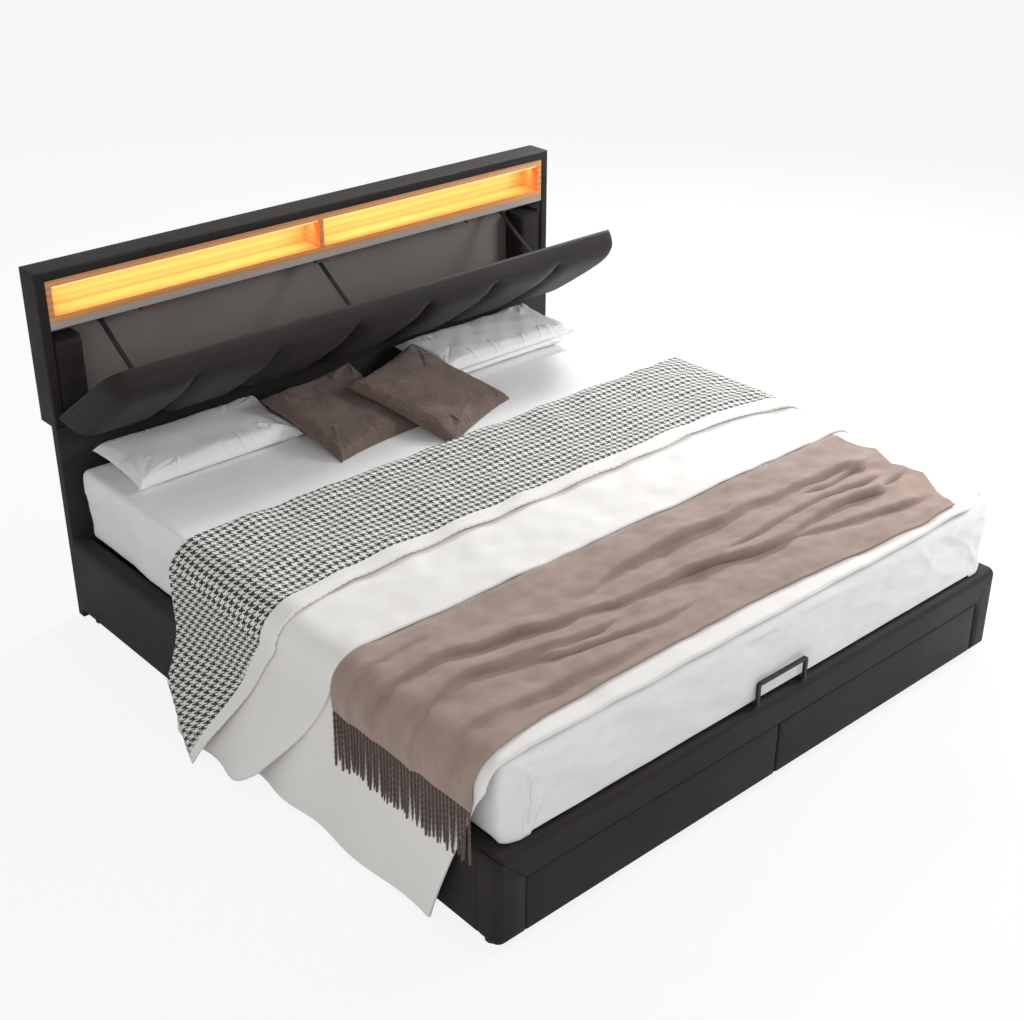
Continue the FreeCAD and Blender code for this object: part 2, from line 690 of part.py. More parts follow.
# Legs and lower panel that carry the box, bolted to the rails
leg_width = 80.0
leg_depth = 32.0
lower_panel_bottom = 237.0
lower_panel_thickness = 20.0
leg_x = (box_half - leg_width, box_half)
leg_y = (head_plane, head_plane + leg_depth)
save("headboard_legs", pair(block(leg_x, leg_y, (0, headboard_bottom))))
lower_panel_y = (head_plane, head_plane + lower_panel_thickness)
lower_panel_z = (lower_panel_bottom, headboard_bottom)
save("headboard_lower_panel", [block((-leg_x[0], leg_x[0]), lower_panel_y, lower_panel_z)])
for z in (angle_z[0], angle_z[1] + angle_leg):
    angle_bolts += pair(Part.makeCylinder(bolt_head_radius, bolt_head_height, V(glide_x, leg_y[1], z), ALONG))
save("frame_bolts", angle_bolts)

# Flap: drawn closed, with u up the board from the hinge and v out towards the foot, then let down
knuckle_radius = 4.5
hinge_pin_radius = 2.0
hinge_height = 4.0
hinge_play = 0.06
hinge_leaf = 2.0
hinge_leaf_gap = 1.0
hinge_leaf_width = 24.0
knuckle_count = 8
knuckle_gap = 0.5
flap_board_thickness = 18.0
flap_bottom = 8.0
flap_shut_gap = 1.0
flap_end_round = 50.0
hinge_y = head_plane - knuckle_radius - flap_shut_gap / 2
hinge_z = room_bottom + hinge_height
board_back = flap_shut_gap - (head_plane - hinge_y)
board_front = board_back + flap_board_thickness
flap_half = flap_width / 2


def flap_point(x, u, v):
    """A point of the flap in its closed place."""
    return V(x, hinge_y - v, hinge_z + u)


def let_down(shape):
    """Turns a closed flap piece down to where it hangs open."""
    turned = shape.copy()
    turned.rotate(V(0, hinge_y, hinge_z), ACROSS, flap_angle)
    return turned


def flap_prism(points, x):
    """A flap piece whose outline is (u, v) points."""
    wire = Part.makePolygon([flap_point(x[0], u, v) for u, v in points + points[:1]])
    return Part.Face(wire).extrude(V(x[1] - x[0], 0, 0))


board_half = flap_half - flap_end_round
leaf_top = flap_bottom + hinge_leaf_width
board_top = flap_length - flap_board_thickness
flap_board_points = [
    (flap_bottom, board_back + hinge_leaf), (leaf_top, board_back + hinge_leaf), (leaf_top, board_back),
    (board_top, board_back), (board_top, board_front), (flap_bottom, board_front),
]
save("flap_board", [let_down(flap_prism(flap_board_points, (-board_half, board_half)))])

# Flap pad: seven channels, each fullest in its middle, with the ends and the top edge drawn in
channel_count = 7
channel_edge = 1.0
channel_width = (flap_width - 2 * channel_edge) / channel_count
seam_share = 0.86
end_fullness_shares = (0.35, 0.72)
end_tuck_shares = (0.12, 0.03)
channel_shares = ((0.2, 0.97), (0.5, 1.0), (0.8, 0.97))
pad_profile_shares = [
    (0.012, 0.10), (0.0, 0.45), (0.01, 0.72), (0.05, 0.9), (0.13, 0.975), (0.25, 1.0), (0.45, 1.0),
    (0.65, 0.985), (0.8, 0.93), (0.9, 0.82), (0.965, 0.62), (0.995, 0.36), (1.0, 0.1), (0.985, -0.02),
]
pad_depth = flap_thickness - flap_board_thickness
pad_length = flap_length - flap_bottom


def pad_wire(x, fullness, tuck):
    """One cross-section of the pad at x; fullness scales its depth, tuck draws its two edges in."""
    points = []
    for along, out in pad_profile_shares:
        u = flap_bottom + pad_length * (along + tuck * (0.5 - along))
        points.append(flap_point(x, u, board_front + pad_depth * max(out, 0) * fullness))
    return Part.makePolygon(points + points[:1])


end_turn = flap_half - flap_end_round / 2
sections = [
    pad_wire(-flap_half, end_fullness_shares[0], end_tuck_shares[0]),
    pad_wire(-end_turn, end_fullness_shares[1], end_tuck_shares[1]),
]
for n in range(channel_count):
    left = (n - channel_count / 2) * channel_width
    if n:
        sections.append(pad_wire(left, seam_share, 0))
    for share, fullness in channel_shares:
        inside = left + channel_width * share
        sections.append(pad_wire(inside, fullness, 0))
sections.append(pad_wire(end_turn, end_fullness_shares[1], end_tuck_shares[1]))
sections.append(pad_wire(flap_half, end_fullness_shares[0], end_tuck_shares[0]))
save("flap_pad", [let_down(Part.makeLoft(sections, True, True))])

# Long hinge: leaves with knuckles in turn, the pin in the fixed ones
hinge_half = board_half - flap_end_round
knuckle_pitch = 2 * hinge_half / knuckle_count
hinge_x = (-hinge_half, hinge_half)
fixed_leaf_y = (head_plane - hinge_leaf, head_plane)
fixed_leaf_low = room_bottom - hinge_leaf_width
leaf_low = knuckle_radius / 2
leaf_front = board_back + hinge_leaf
fixed_leaf = block(hinge_x, fixed_leaf_y, (fixed_leaf_low, room_bottom - hinge_leaf_gap))
leaf_points = [(leaf_low, board_back), (leaf_top, board_back), (leaf_top, leaf_front), (leaf_low, leaf_front)]
moving_leaf = flap_prism(leaf_points, hinge_x)
hinge_reach = (-hinge_half - overrun, hinge_half + overrun)
ring_cut = bar_x(knuckle_radius + pin_play, hinge_reach, hinge_y, hinge_z)
tie_points = [(0, board_back), (knuckle_radius, board_back), (knuckle_radius, leaf_front), (0, leaf_front)]
fixed_pieces = []
moving_pieces = []
for n in range(knuckle_count):
    start = -hinge_half + knuckle_pitch * n
    knuckle_x = (start + knuckle_gap / 2, start + knuckle_pitch - knuckle_gap / 2)
    knuckle = bar_x(knuckle_radius, knuckle_x, hinge_y, hinge_z)
    if n % 2:
        moving_pieces += [knuckle, flap_prism(tie_points, knuckle_x)]
    else:
        fixed_pieces += [knuckle, block(knuckle_x, fixed_leaf_y, (fixed_leaf_low, hinge_z))]
hinge_pin = bar_x(hinge_pin_radius, hinge_x, hinge_y, hinge_z)
pin_room = bar_x(hinge_pin_radius + hinge_play, hinge_reach, hinge_y, hinge_z)
save("flap_hinge_fixed_leaf", [fused([fixed_leaf, hinge_pin] + fixed_pieces)])
save("flap_hinge_moving_leaf", [let_down(fused([moving_leaf.cut(ring_cut)] + moving_pieces).cut(pin_room))])

# Three webbing stays between the shelf and the flap board, with their plates
stay_width = 18.0
cloth_gap = 0.3
stay_thickness = 2.0
stay_inset = 203.0
stay_spread = flap_half - stay_inset
stay_on_board = 213.0
stay_plate = 30.0
stay_plate_thickness = 2.0
stay_setback = 27.0
stay_plate_drop = 16.0
stay_top = V(0, cubby_y[0] + stay_setback, shelf_bottom - stay_plate_drop)
board_anchor = flap_point(0, stay_on_board, board_back - cloth_gap)
turn = FreeCAD.Rotation(ACROSS, flap_angle)
hinge_centre = V(0, hinge_y, hinge_z)
stay_end = hinge_centre + turn.multVec(board_anchor - hinge_centre)
stay_line = stay_top - stay_end
stay_angle = math.degrees(math.atan2(stay_line.z, stay_line.y))
stays = []
stay_shelf_plates = []
stay_board_plates = []
for x in (-stay_spread, 0, stay_spread):
    stay = block((x - stay_width / 2, x + stay_width / 2), (0, stay_line.Length), (0, stay_thickness))
    stay.rotate(V(x, 0, 0), ACROSS, stay_angle)
    stay.translate(V(0, stay_end.y, stay_end.z))
    stays.append(stay)
    plate_x = (x - stay_plate / 2, x + stay_plate / 2)
    upper_y = (stay_top.y + cloth_gap, stay_top.y + cloth_gap + stay_plate_thickness)
    stay_shelf_plates.append(block(plate_x, upper_y, (stay_top.z - stay_thickness, shelf_bottom)))
    board_low = stay_on_board - stay_plate
    plate_top = stay_on_board - stay_thickness / 2
    stay_board_plates.append(let_down(flap_prism([
        (board_low, board_back - stay_plate_thickness), (plate_top, board_back - stay_plate_thickness),
        (plate_top, board_back), (board_low, board_back),
    ], plate_x)))
save("flap_stays", stays)
save("stay_shelf_plates", stay_shelf_plates)
save("stay_board_plates", stay_board_plates)

# Bedding: cloth layers that lie over the mattress and turn down past its sides
shoulder_reach = 20.0
shoulder_radius = 62.0
duvet_thickness = 14.0
layer_thickness = 11.0
throw_thickness = 9.0
shoulder_x = mattress_width / 2 + shoulder_reach
shoulder_z = mattress_top + cloth_gap - shoulder_radius


def draped(radius, thickness, y, left_hem, right_hem, right_edge=None):
    """A layer of cloth over the mattress top that turns down at radius round each shoulder."""
    top = shoulder_z + radius
    edge = shoulder_x if right_edge is None else right_edge
    pieces = [block((-shoulder_x, edge), y, (top, top + thickness))]
    for side, hem in ((-1, left_hem), (1, right_hem)):
        if side > 0 and right_edge is not None:
            continue
        centre = V(side * shoulder_x, y[0], shoulder_z)
        tube = Part.makeCylinder(radius + thickness, y[1] - y[0], centre, ALONG)
        tube = tube.cut(Part.makeCylinder(radius, y[1] - y[0], centre, ALONG))
        outward = sorted((side * shoulder_x, side * (shoulder_x + radius + thickness + overrun)))
        pieces.append(tube.common(block(outward, y, (shoulder_z, top + thickness + overrun))))
        fall = sorted((side * (shoulder_x + radius), side * (shoulder_x + radius + thickness)))
        if hem < shoulder_z:
            pieces.append(block(fall, y, (hem, shoulder_z)))
    return fused(pieces)


duvet_setback = 3.0
duvet_head_gap = 693.0
throw_from_foot = 37.0
throw_width = 553.0
fold_from_throw = 7.0
fold_setback = 4.0
band_width = 443.0
band_over = 6.0
duvet_foot = mattress_foot + duvet_setback
duvet_head = mattress_head - duvet_head_gap
throw_y = (duvet_foot + throw_from_foot, duvet_foot + throw_from_foot + throw_width)
fold_layer_y = (throw_y[1] + fold_from_throw, duvet_head - fold_setback)
band_y = (duvet_head + band_over - band_width, duvet_head + band_over)
hem_height = 14.0
duvet_radius = shoulder_radius
upper_radius = duvet_radius + duvet_thickness + cloth_gap
band_radius = upper_radius + layer_thickness + cloth_gap
save("duvet_top", [draped(duvet_radius, duvet_thickness, (duvet_foot, duvet_head), shoulder_z, shoulder_z)])
fold_layer = draped(upper_radius, layer_thickness, fold_layer_y, shoulder_z, shoulder_z)
reverse_band = draped(band_radius, layer_thickness, band_y, shoulder_z, shoulder_z)
save("duvet_folded_layers", [fold_layer, reverse_band])
throw_drop = 120.0
throw_hang = mattress_top - throw_drop
throw_right_setback = 15.0
throw_right_edge = mattress_width / 2 - throw_right_setback
save("throw", [draped(upper_radius, throw_thickness, throw_y, throw_hang, shoulder_z, throw_right_edge)])

# Hanging sides of the duvet, with folds that open towards the hem
fold_waves = 5
drop_level_shares = ((0, 0), (0.48, 0), (0.74, 0.55), (1, 1))
fold_depth = 16.0
drop_thickness = 13.5
drop_x = shoulder_x + duvet_radius + cloth_gap
drop_top = shoulder_z - cloth_gap


def hanging(y_top, y_hem, reach, drop_z, waves):
    """A hanging length of cloth that opens by reach; its folds grow from nothing to fold_depth at the hem."""
    sections_down = []
    for share, opening in drop_level_shares:
        z = drop_z[0] + (drop_z[1] - drop_z[0]) * share
        low = y_top[0] + (y_hem[0] - y_top[0]) * share
        high = y_top[1] + (y_hem[1] - y_top[1]) * share
        x = drop_x + reach * opening
        outer = []
        inner = []
        for n in range(waves * 2 + 1):
            y = low + (high - low) * n / (waves * 2)
            swing = fold_depth * opening * (n % 2)
            outer.append(V(x + swing + drop_thickness, y, z))
            inner.append(V(x + swing, y, z))
        sections_down.append(Part.makePolygon(outer + inner[::-1] + outer[:1]))
    return Part.makeLoft(sections_down, True, True)


drop_z = (drop_top, hem_height)
main_reach = 10.0
flare_reach = 100.0
right_reach = 50.0
main_foot_lean = 180.0
main_head_lean = 118.0
flare_foot_lean = 123.0
flare_head_lean = 58.0
right_foot_lean = 115.0
main_hem_y = (duvet_foot + main_foot_lean, fold_layer_y[0] + main_head_lean)
flare_hem_y = (fold_layer_y[0] + overrun + flare_foot_lean, band_y[1] - flare_head_lean)
right_hem_y = (duvet_foot + right_foot_lean, band_y[1] - flare_head_lean)
main_drop = hanging((duvet_foot, fold_layer_y[0]), main_hem_y, main_reach, drop_z, fold_waves)
flare_drop = hanging((fold_layer_y[0] + overrun, band_y[1]), flare_hem_y, flare_reach, drop_z, fold_waves)
save("duvet_sides_left", [mirrored(main_drop), mirrored(flare_drop)])
save("duvet_side_right", [hanging((duvet_foot, band_y[1]), right_hem_y, right_reach, drop_z, fold_waves + 2)])

# Fringe along the left end of the throw
fringe_count = 40
fringe_length = 160.0
fringe_radius = 3.5
fringe_sides = 6
fringe_x = -(shoulder_x + upper_radius + throw_thickness / 2)
strands = []
fringe_pitch = (throw_y[1] - throw_y[0] - 4 * fringe_radius) / (fringe_count - 1)
for n in range(fringe_count):
    y = throw_y[0] + 2 * fringe_radius + fringe_pitch * n
    corners = []
    for k in range(fringe_sides + 1):
        angle = 2 * math.pi * k / fringe_sides
        across = fringe_x + fringe_radius * math.cos(angle)
        corners.append(V(across, y + fringe_radius * math.sin(angle), throw_hang - fringe_length))
    strands.append(Part.Face(Part.makePolygon(corners)).extrude(V(0, 0, fringe_length)))
save("throw_fringe", strands)


cushion_power_share = 2.4
side_points = 6
low_level_shares = (0.97, 0.8, 0.5)
high_level_shares = (0, 0.4, 0.7, 0.88, 0.97)


def cushion(size, crown, belly, pinch, centre, tilt, yaw):
    """A filled square or oblong, lofted through level outlines that shrink towards its crown and belly."""
    half_x = size[0] / 2
    half_y = size[1] / 2
    rim = []
    for n in range(side_points):
        share = 2 * n / side_points - 1
        rim.append((share, -1))
    rim += [(-v, u) for u, v in rim]
    rim += [(-u, -v) for u, v in rim]

    def outline(level, height):
        ring = []
        for u, v in rim:
            shrink = (1 - level ** (2 - abs(u * v))) ** (1 / cushion_power_share)
            u *= shrink
            v *= shrink
            across = half_x * u * (1 - pinch * (1 - v * v))
            along = half_y * v * (1 - pinch * (1 - u * u))
            ring.append(V(across, along, height * level))
        return Part.makePolygon(ring + ring[:1])

    levels = [outline(level, -belly) for level in low_level_shares]
    levels += [outline(level, crown) for level in high_level_shares]
    solid = Part.makeLoft(levels, True, True)
    solid.rotate(ORIGIN, ACROSS, tilt)
    solid.rotate(ORIGIN, UP, yaw)
    solid.translate(V(*centre))
    return solid


# Pillows under the flap and two loose cushions in front of them
pillow_depth = 300.0
pillow_crown = 50.0
pillow_belly = 24.0
pillow_pinch = 0.03
pillow_left_size = (620.0, pillow_depth)
pillow_right_size = (640.0, pillow_depth)
pillow_head_gap = 153.0
pillow_left_inset = 325.0
pillow_right_inset = 390.0
pillow_left_rise = 29.3
low_pillow_rise = 23.6
high_pillow_rise = 59.2
pillow_y = mattress_head - pillow_head_gap
pillow_right_x = mattress_width / 2 - pillow_right_inset
pillow_left_place = (pillow_left_inset - mattress_width / 2, pillow_y, mattress_top + pillow_left_rise)
low_pillow_place = (pillow_right_x, pillow_y, mattress_top + low_pillow_rise)
high_pillow_place = (pillow_right_x, pillow_y, mattress_top + high_pillow_rise)
pillow_left_tilt = 6.0
high_pillow_tilt = 3.0
low_pillow_crown = 22.0
high_pillow_crown = 40.0
high_pillow_belly = 12.0
save("pillow_left", [cushion(
    pillow_left_size, pillow_crown, pillow_belly, pillow_pinch, pillow_left_place, pillow_left_tilt, 0)])
save("pillows_right", [
    cushion(pillow_right_size, low_pillow_crown, pillow_belly, pillow_pinch, low_pillow_place, 0, 0),
    cushion(
        pillow_right_size, high_pillow_crown, high_pillow_belly, pillow_pinch,
        high_pillow_place, high_pillow_tilt, 0),
])
cushion_crown = 42.0
cushion_belly = 22.0
cushion_pinch = 0.07
left_cushion_side = 380.0
right_cushion_side = 415.0
left_cushion_x = -178.0
left_cushion_gap = 310.0
left_cushion_rise = 46.3
left_cushion_tilt = 13.0
left_cushion_yaw = 7.0
right_cushion_x = 113.0
right_cushion_gap = 400.0
right_cushion_rise = 61.0
right_cushion_tilt = 17.0
right_cushion_yaw = 22.0
left_cushion_place = (left_cushion_x, mattress_head - left_cushion_gap, mattress_top + left_cushion_rise)
right_cushion_place = (right_cushion_x, mattress_head - right_cushion_gap, mattress_top + right_cushion_rise)
save("cushion_left", [cushion(
    (left_cushion_side, left_cushion_side), cushion_crown, cushion_belly, cushion_pinch,
    left_cushion_place, left_cushion_tilt, left_cushion_yaw)])
save("cushion_right", [cushion(
    (right_cushion_side, right_cushion_side), cushion_crown, cushion_belly, cushion_pinch,
    right_cushion_place, right_cushion_tilt, right_cushion_yaw)])
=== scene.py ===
"""Upholstered storage bed, dressed over its fixed frame.

Each soft surface is a grid of points worked out with numpy. A grid is either a skin over a board or a slab:
a middle surface given thickness along its normals, thinned to a round edge at its border. Bedding starts from
one rule: a length measured across the bed runs over the mattress, round its shoulder and down its side.
"""
import math
import bmesh
import bpy
import numpy as np
from mathutils import Matrix, Vector


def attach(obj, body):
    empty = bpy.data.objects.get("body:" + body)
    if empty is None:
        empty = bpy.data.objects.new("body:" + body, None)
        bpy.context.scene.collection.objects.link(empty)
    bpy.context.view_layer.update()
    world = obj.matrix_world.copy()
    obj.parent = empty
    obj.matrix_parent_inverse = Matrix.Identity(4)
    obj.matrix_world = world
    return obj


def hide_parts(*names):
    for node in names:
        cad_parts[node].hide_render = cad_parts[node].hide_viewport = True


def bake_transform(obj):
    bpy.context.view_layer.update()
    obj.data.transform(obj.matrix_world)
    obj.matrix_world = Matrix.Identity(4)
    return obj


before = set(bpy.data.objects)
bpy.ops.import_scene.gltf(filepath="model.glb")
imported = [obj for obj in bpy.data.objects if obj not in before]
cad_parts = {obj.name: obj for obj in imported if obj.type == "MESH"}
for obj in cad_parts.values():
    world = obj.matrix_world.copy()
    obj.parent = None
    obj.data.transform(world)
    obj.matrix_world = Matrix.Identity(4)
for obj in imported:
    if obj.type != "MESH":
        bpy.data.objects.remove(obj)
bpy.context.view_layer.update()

scene = bpy.context.scene

# Camera: stands off the near left corner of the foot end and looks down over the bed. Its place and turn
# were solved from the base's corners and the headboard's edges. The columns are right, up, back and place.
camera = bpy.data.objects.new("camera", bpy.data.cameras.new("camera"))
scene.collection.objects.link(camera)
camera.matrix_world = Matrix((
    (0.7464838, 0.31259748, -0.58740509, -2.921),
    (-0.66539438, 0.355325, -0.65650168, -3.1894),
    (0.00349894, 0.88092393, 0.47324496, 2.776),
    (0, 0, 0, 1)))
camera.data.sensor_width = 36
camera.data.lens = 55.19
scene.camera = camera
scene.view_settings.view_transform = "Standard"


def srgb(*shade):
    """A screen colour from 0 to 255 as the linear colour that a shader takes."""
    linear = [((s / 255 + 0.055) / 1.055) ** 2.4 if s > 10 else s / 3295 for s in shade]
    return (*linear, 1)


def assign(target, **values):
    """Sets several attributes of one thing."""
    for key, value in values.items():
        setattr(target, key, value)


class Net:
    """A material whose node tree is built one node at a time."""

    def __init__(self, name, **values):
        self.material = bpy.data.materials.new(name)
        self.material.use_nodes = True
        self.tree = self.material.node_tree
        self.shader = self.tree.nodes["Principled BSDF"]
        self.feed(self.shader, **values)
        self.place = self.put("TexCoord", "Object")

    def feed(self, node, **inputs):
        """Gives inputs a value or another node's output; _0 means the first input."""
        for key, value in inputs.items():
            socket = node.inputs[int(key[1:])] if key[0] == "_" else node.inputs[key.replace("_", " ")]
            if isinstance(value, bpy.types.NodeSocket):
                self.tree.links.new(value, socket)
            else:
                socket.default_value = value

    def put(self, kind, out=0, settings=None, **inputs):
        """Adds a node and gives one of its outputs."""
        node = self.tree.nodes.new("ShaderNode" + kind)
        assign(node, **(settings or {}))
        self.feed(node, **inputs)
        return node.outputs[out]

    def math(self, operation, a, b=0.0):
        return self.put("Math", settings={"operation": operation}, _0=a, _1=b)

    def add(self, a, b):
        return self.math("ADD", a, b)

    def times(self, a, b):
        return self.math("MULTIPLY", a, b)

    def mix(self, share, first, second):
        """Between two colours."""
        return self.put("Mix", 2, {"data_type": "RGBA"}, _0=share, _6=first, _7=second)

    def noise(self, scale, detail=3.0, stretch=None, seed=0.0):
        """Soft noise between 0 and 1, stretched along an axis if asked."""
        where = self.put(
            "Mapping", Vector=self.place, Scale=stretch or (1, 1, 1), Location=(seed, seed, seed))
        return self.put("TexNoise", Vector=where, Scale=scale, Detail=detail, Roughness=0.55)

    def finish(self, colour, rough, height, depth):
        """Colour, roughness and bump into the shader."""
        bump = self.put("Bump", Strength=1.0, Distance=depth, Height=height)
        self.feed(self.shader, Base_Color=colour, Roughness=rough, Normal=bump)
        return self.material


def ranged(net, value, low, high):
    """Noise spread from low to high."""
    return net.put("MapRange", Value=value, _1=0.3, _2=0.7, _3=low, _4=high)


def cloth(name, colour, deep, thread, depth, rough, **values):
    """Woven cloth: threads along all three axes in the bump, soft blotches of a deeper shade."""
    net = Net(name, **values)
    across, along, third = (
        net.put("TexWave", 1, {"bands_direction": axis}, Vector=net.place, Scale=thread, Distortion=0.6)
        for axis in "XZY")
    threads = net.times(net.add(net.add(across, along), third), 0.33)
    blotch = ranged(net, net.noise(3.0, 4.0), 0.0, 1.0)
    fleck = net.noise(thread * 2.5, 2.0, None, 3.0)
    shade = net.mix(net.times(net.add(blotch, fleck), 0.5), deep, colour)
    height = net.add(threads, net.times(fleck, 0.8))
    return net.finish(shade, ranged(net, fleck, rough - 0.06, rough + 0.05), height, depth)


# Materials. The base is wrapped in a matt grey-brown leather-like cloth with a faint brushed grain.
def wrap_cloth(name, mitred=False):
    """The base's cloth. Mitred, it has a seam from each drawer's top corner to the rail's outer corner."""
    net = Net(name, Specular_IOR_Level=0.22, Sheen_Weight=0.03, Sheen_Roughness=0.5)
    brushed = net.noise(9.0, 5.0, (0.35, 0.35, 6.0))
    fine = net.noise(60.0, 4.0, (0.4, 0.4, 5.0), 4.0)
    pores = net.put("TexVoronoi", Vector=net.place, Scale=620.0)
    worn = net.noise(2.2, 3.0, None, 7.0)
    grain = net.add(ranged(net, brushed, 0.0, 0.6), ranged(net, fine, 0.0, 0.4))
    colour = net.mix(grain, srgb(28, 24, 23), srgb(43, 38, 36))
    height = net.add(net.times(brushed, 0.5), net.add(pores, fine))
    if mitred:
        x, y, z = net.put("SeparateXYZ", Vector=net.place).node.outputs
        corner_x = 0.949
        corner_z = 0.205
        seam_slope = 0.958
        out = net.math("SUBTRACT", net.math("ABSOLUTE", x), corner_x)
        up = net.math("SUBTRACT", z, corner_z)
        off = net.math("ABSOLUTE", net.math("SUBTRACT", out, net.times(up, seam_slope)))
        line = net.put("MapRange", Value=off, _1=0.0012, _2=0.0036, _3=1.0, _4=0.0)
        seam = net.times(line, net.math("GREATER_THAN", up, 0.0))
        colour = net.mix(seam, colour, srgb(10, 9, 9))
        height = net.math("SUBTRACT", height, net.times(seam, 6.0))
    return net.finish(colour, ranged(net, worn, 0.56, 0.7), height, 0.0004)


upholstery = wrap_cloth("upholstery")
mitred_upholstery = wrap_cloth("mitred_upholstery", True)
dark_cloth = cloth("dark_cloth", srgb(46, 42, 40), srgb(36, 33, 32), 260.0, 0.0003, 0.85)
lining_grey = cloth("lining_grey", srgb(132, 126, 123), srgb(114, 108, 105), 300.0, 0.0003, 0.8)
band_grey = cloth("band_grey", srgb(180, 171, 162), srgb(162, 153, 146), 300.0, 0.0003, 0.8)
white_cotton = cloth(
    "white_cotton", srgb(240, 240, 240), srgb(230, 230, 230), 420.0, 0.0002, 0.82,
    Sheen_Weight=0.2, Sheen_Roughness=0.4)
duvet_cotton = cloth(
    "duvet_cotton", srgb(238, 236, 233), srgb(229, 226, 223), 420.0, 0.0002, 0.84,
    Sheen_Weight=0.2, Sheen_Roughness=0.4)
black_webbing = cloth("black_webbing", srgb(26, 25, 25), srgb(16, 15, 15), 500.0, 0.0003, 0.95)


def nap(name, colour, deep, relief_scale, relief, depth, **values):
    """Plush cloth: a short pile that scatters, with a squiggly relief pressed into it."""
    net = Net(name, **values)
    pile = net.noise(420.0, 3.0)
    brushed = net.noise(7.0, 4.0, (1.0, 2.4, 1.0), 2.0)
    squiggle = net.put("TexNoise", Vector=net.place, Scale=relief_scale, Detail=1.0, Distortion=2.2)
    pressed = net.put("MapRange", Value=squiggle, _1=0.4, _2=0.6)
    height = net.add(net.times(pressed, relief), net.times(pile, 0.5))
    tone = net.add(ranged(net, brushed, 0.0, 0.6), ranged(net, pile, 0.0, 0.2))
    tone = net.add(tone, net.times(pressed, 0.2 * min(1, relief)))
    return net.finish(net.mix(tone, deep, colour), ranged(net, pile, 0.86, 0.98), height, depth)


fleece = nap(
    "fleece", srgb(170, 148, 137), srgb(140, 120, 110), 60.0, 0.15, 0.0009,
    Sheen_Weight=0.15, Sheen_Roughness=0.5)
cushion_plush = nap(
    "cushion_plush", srgb(124, 100, 89), srgb(86, 67, 59), 85.0, 1.0, 0.003,
    Sheen_Weight=0.25, Sheen_Roughness=0.5)
fringe_yarn = nap(
    "fringe_yarn", srgb(104, 87, 79), srgb(76, 62, 55), 300.0, 0.4, 0.0006,
    Sheen_Weight=0.15, Sheen_Roughness=0.5)


def houndstooth(name, light, dark, thread):
    """Four dark and four light threads each way in a two-over-two twill."""
    net = Net(name, Sheen_Weight=0.15, Sheen_Roughness=0.4)
    ways = net.put("SeparateXYZ", Vector=net.put("TexCoord", "UV")).node.outputs
    warp, weft = (net.math("FLOOR", net.math("DIVIDE", ways[k], thread)) for k in (0, 1))
    dark_warp, dark_weft = (
        net.math("LESS_THAN", net.math("FLOORED_MODULO", way, 8.0), 3.5) for way in (warp, weft))
    over = net.math("LESS_THAN", net.math("FLOORED_MODULO", net.add(warp, weft), 4.0), 1.5)
    under = net.math("SUBTRACT", 1.0, over)
    seen = net.add(net.times(dark_warp, over), net.times(dark_weft, under))
    fleck = net.noise(900.0, 2.0)
    height = net.add(net.times(over, 0.5), fleck)
    return net.finish(net.mix(seen, light, dark), ranged(net, fleck, 0.78, 0.9), height, 0.0003)


check_cotton = houndstooth("check_cotton", srgb(226, 224, 219), srgb(46, 44, 42), 0.0031)


def wood(name, light, dark, scale, rough, inner=None, ringed=0.45):
    """Veneer: growth rings stretched along X with fine pores; inner shades, if given, are painted amber glow
    of the strip lights on the wood behind the front edges.
    """
    net = Net(name, Coat_Weight=0.08, Coat_Roughness=0.35)
    sway = net.noise(2.0, 4.0, (0.4, 2.0, 2.0))
    where = net.put("Mapping", Vector=net.place, Scale=(0.6, 9.0, 9.0))
    rings = net.put(
        "TexWave", 1, {"bands_direction": "Z"}, Vector=where, Scale=scale, Distortion=5.0, Detail=3.0)
    pores = net.noise(60.0, 4.0, (0.25, 6.0, 6.0), 1.0)
    tone = net.add(net.times(rings, ringed), net.times(sway, 1 - ringed))
    grain = net.times(tone, ranged(net, pores, 0.75, 1.1))
    colour = net.mix(grain, dark, light)
    if inner:
        # Behind the front edges the wood turns to the inner shades: painted amber glow of the strip lights,
        # not the veneer's own colour.
        behind = net.put("SeparateXYZ", Vector=net.place).node.outputs[1]
        front_edge = 1.0425
        deeper = net.put("MapRange", Value=behind, _1=front_edge, _2=front_edge + 0.0015)
        colour = net.mix(deeper, colour, net.mix(grain, *inner))
    return net.finish(colour, ranged(net, pores, rough + 0.08, rough), pores, 0.0004)


oak_trim = wood("oak_trim", srgb(244, 184, 122), srgb(198, 140, 88), 1.6, 0.42)
# The cubby wood: its inner shades paint the strip lights' amber glow on the wood inside the cubbies.
lit_oak = wood(
    "lit_oak", srgb(232, 168, 104), srgb(182, 122, 72), 1.6, 0.42, (srgb(208, 126, 62), srgb(232, 158, 96)))
plywood = wood("plywood", srgb(216, 192, 154), srgb(178, 148, 108), 1.2, 0.6, None, 0.14)


def hard(name, colour, worn, rough, grain, depth, **values):
    """Paint, metal or moulded plastic: fine grain and slightly worn patches."""
    net = Net(name, **values)
    speck = net.noise(grain, 3.0)
    patches = net.noise(6.0, 4.0, None, 5.0)
    shade = net.mix(ranged(net, patches, 0.0, 1.0), colour, worn)
    return net.finish(shade, ranged(net, patches, rough, rough + 0.12), speck, depth)


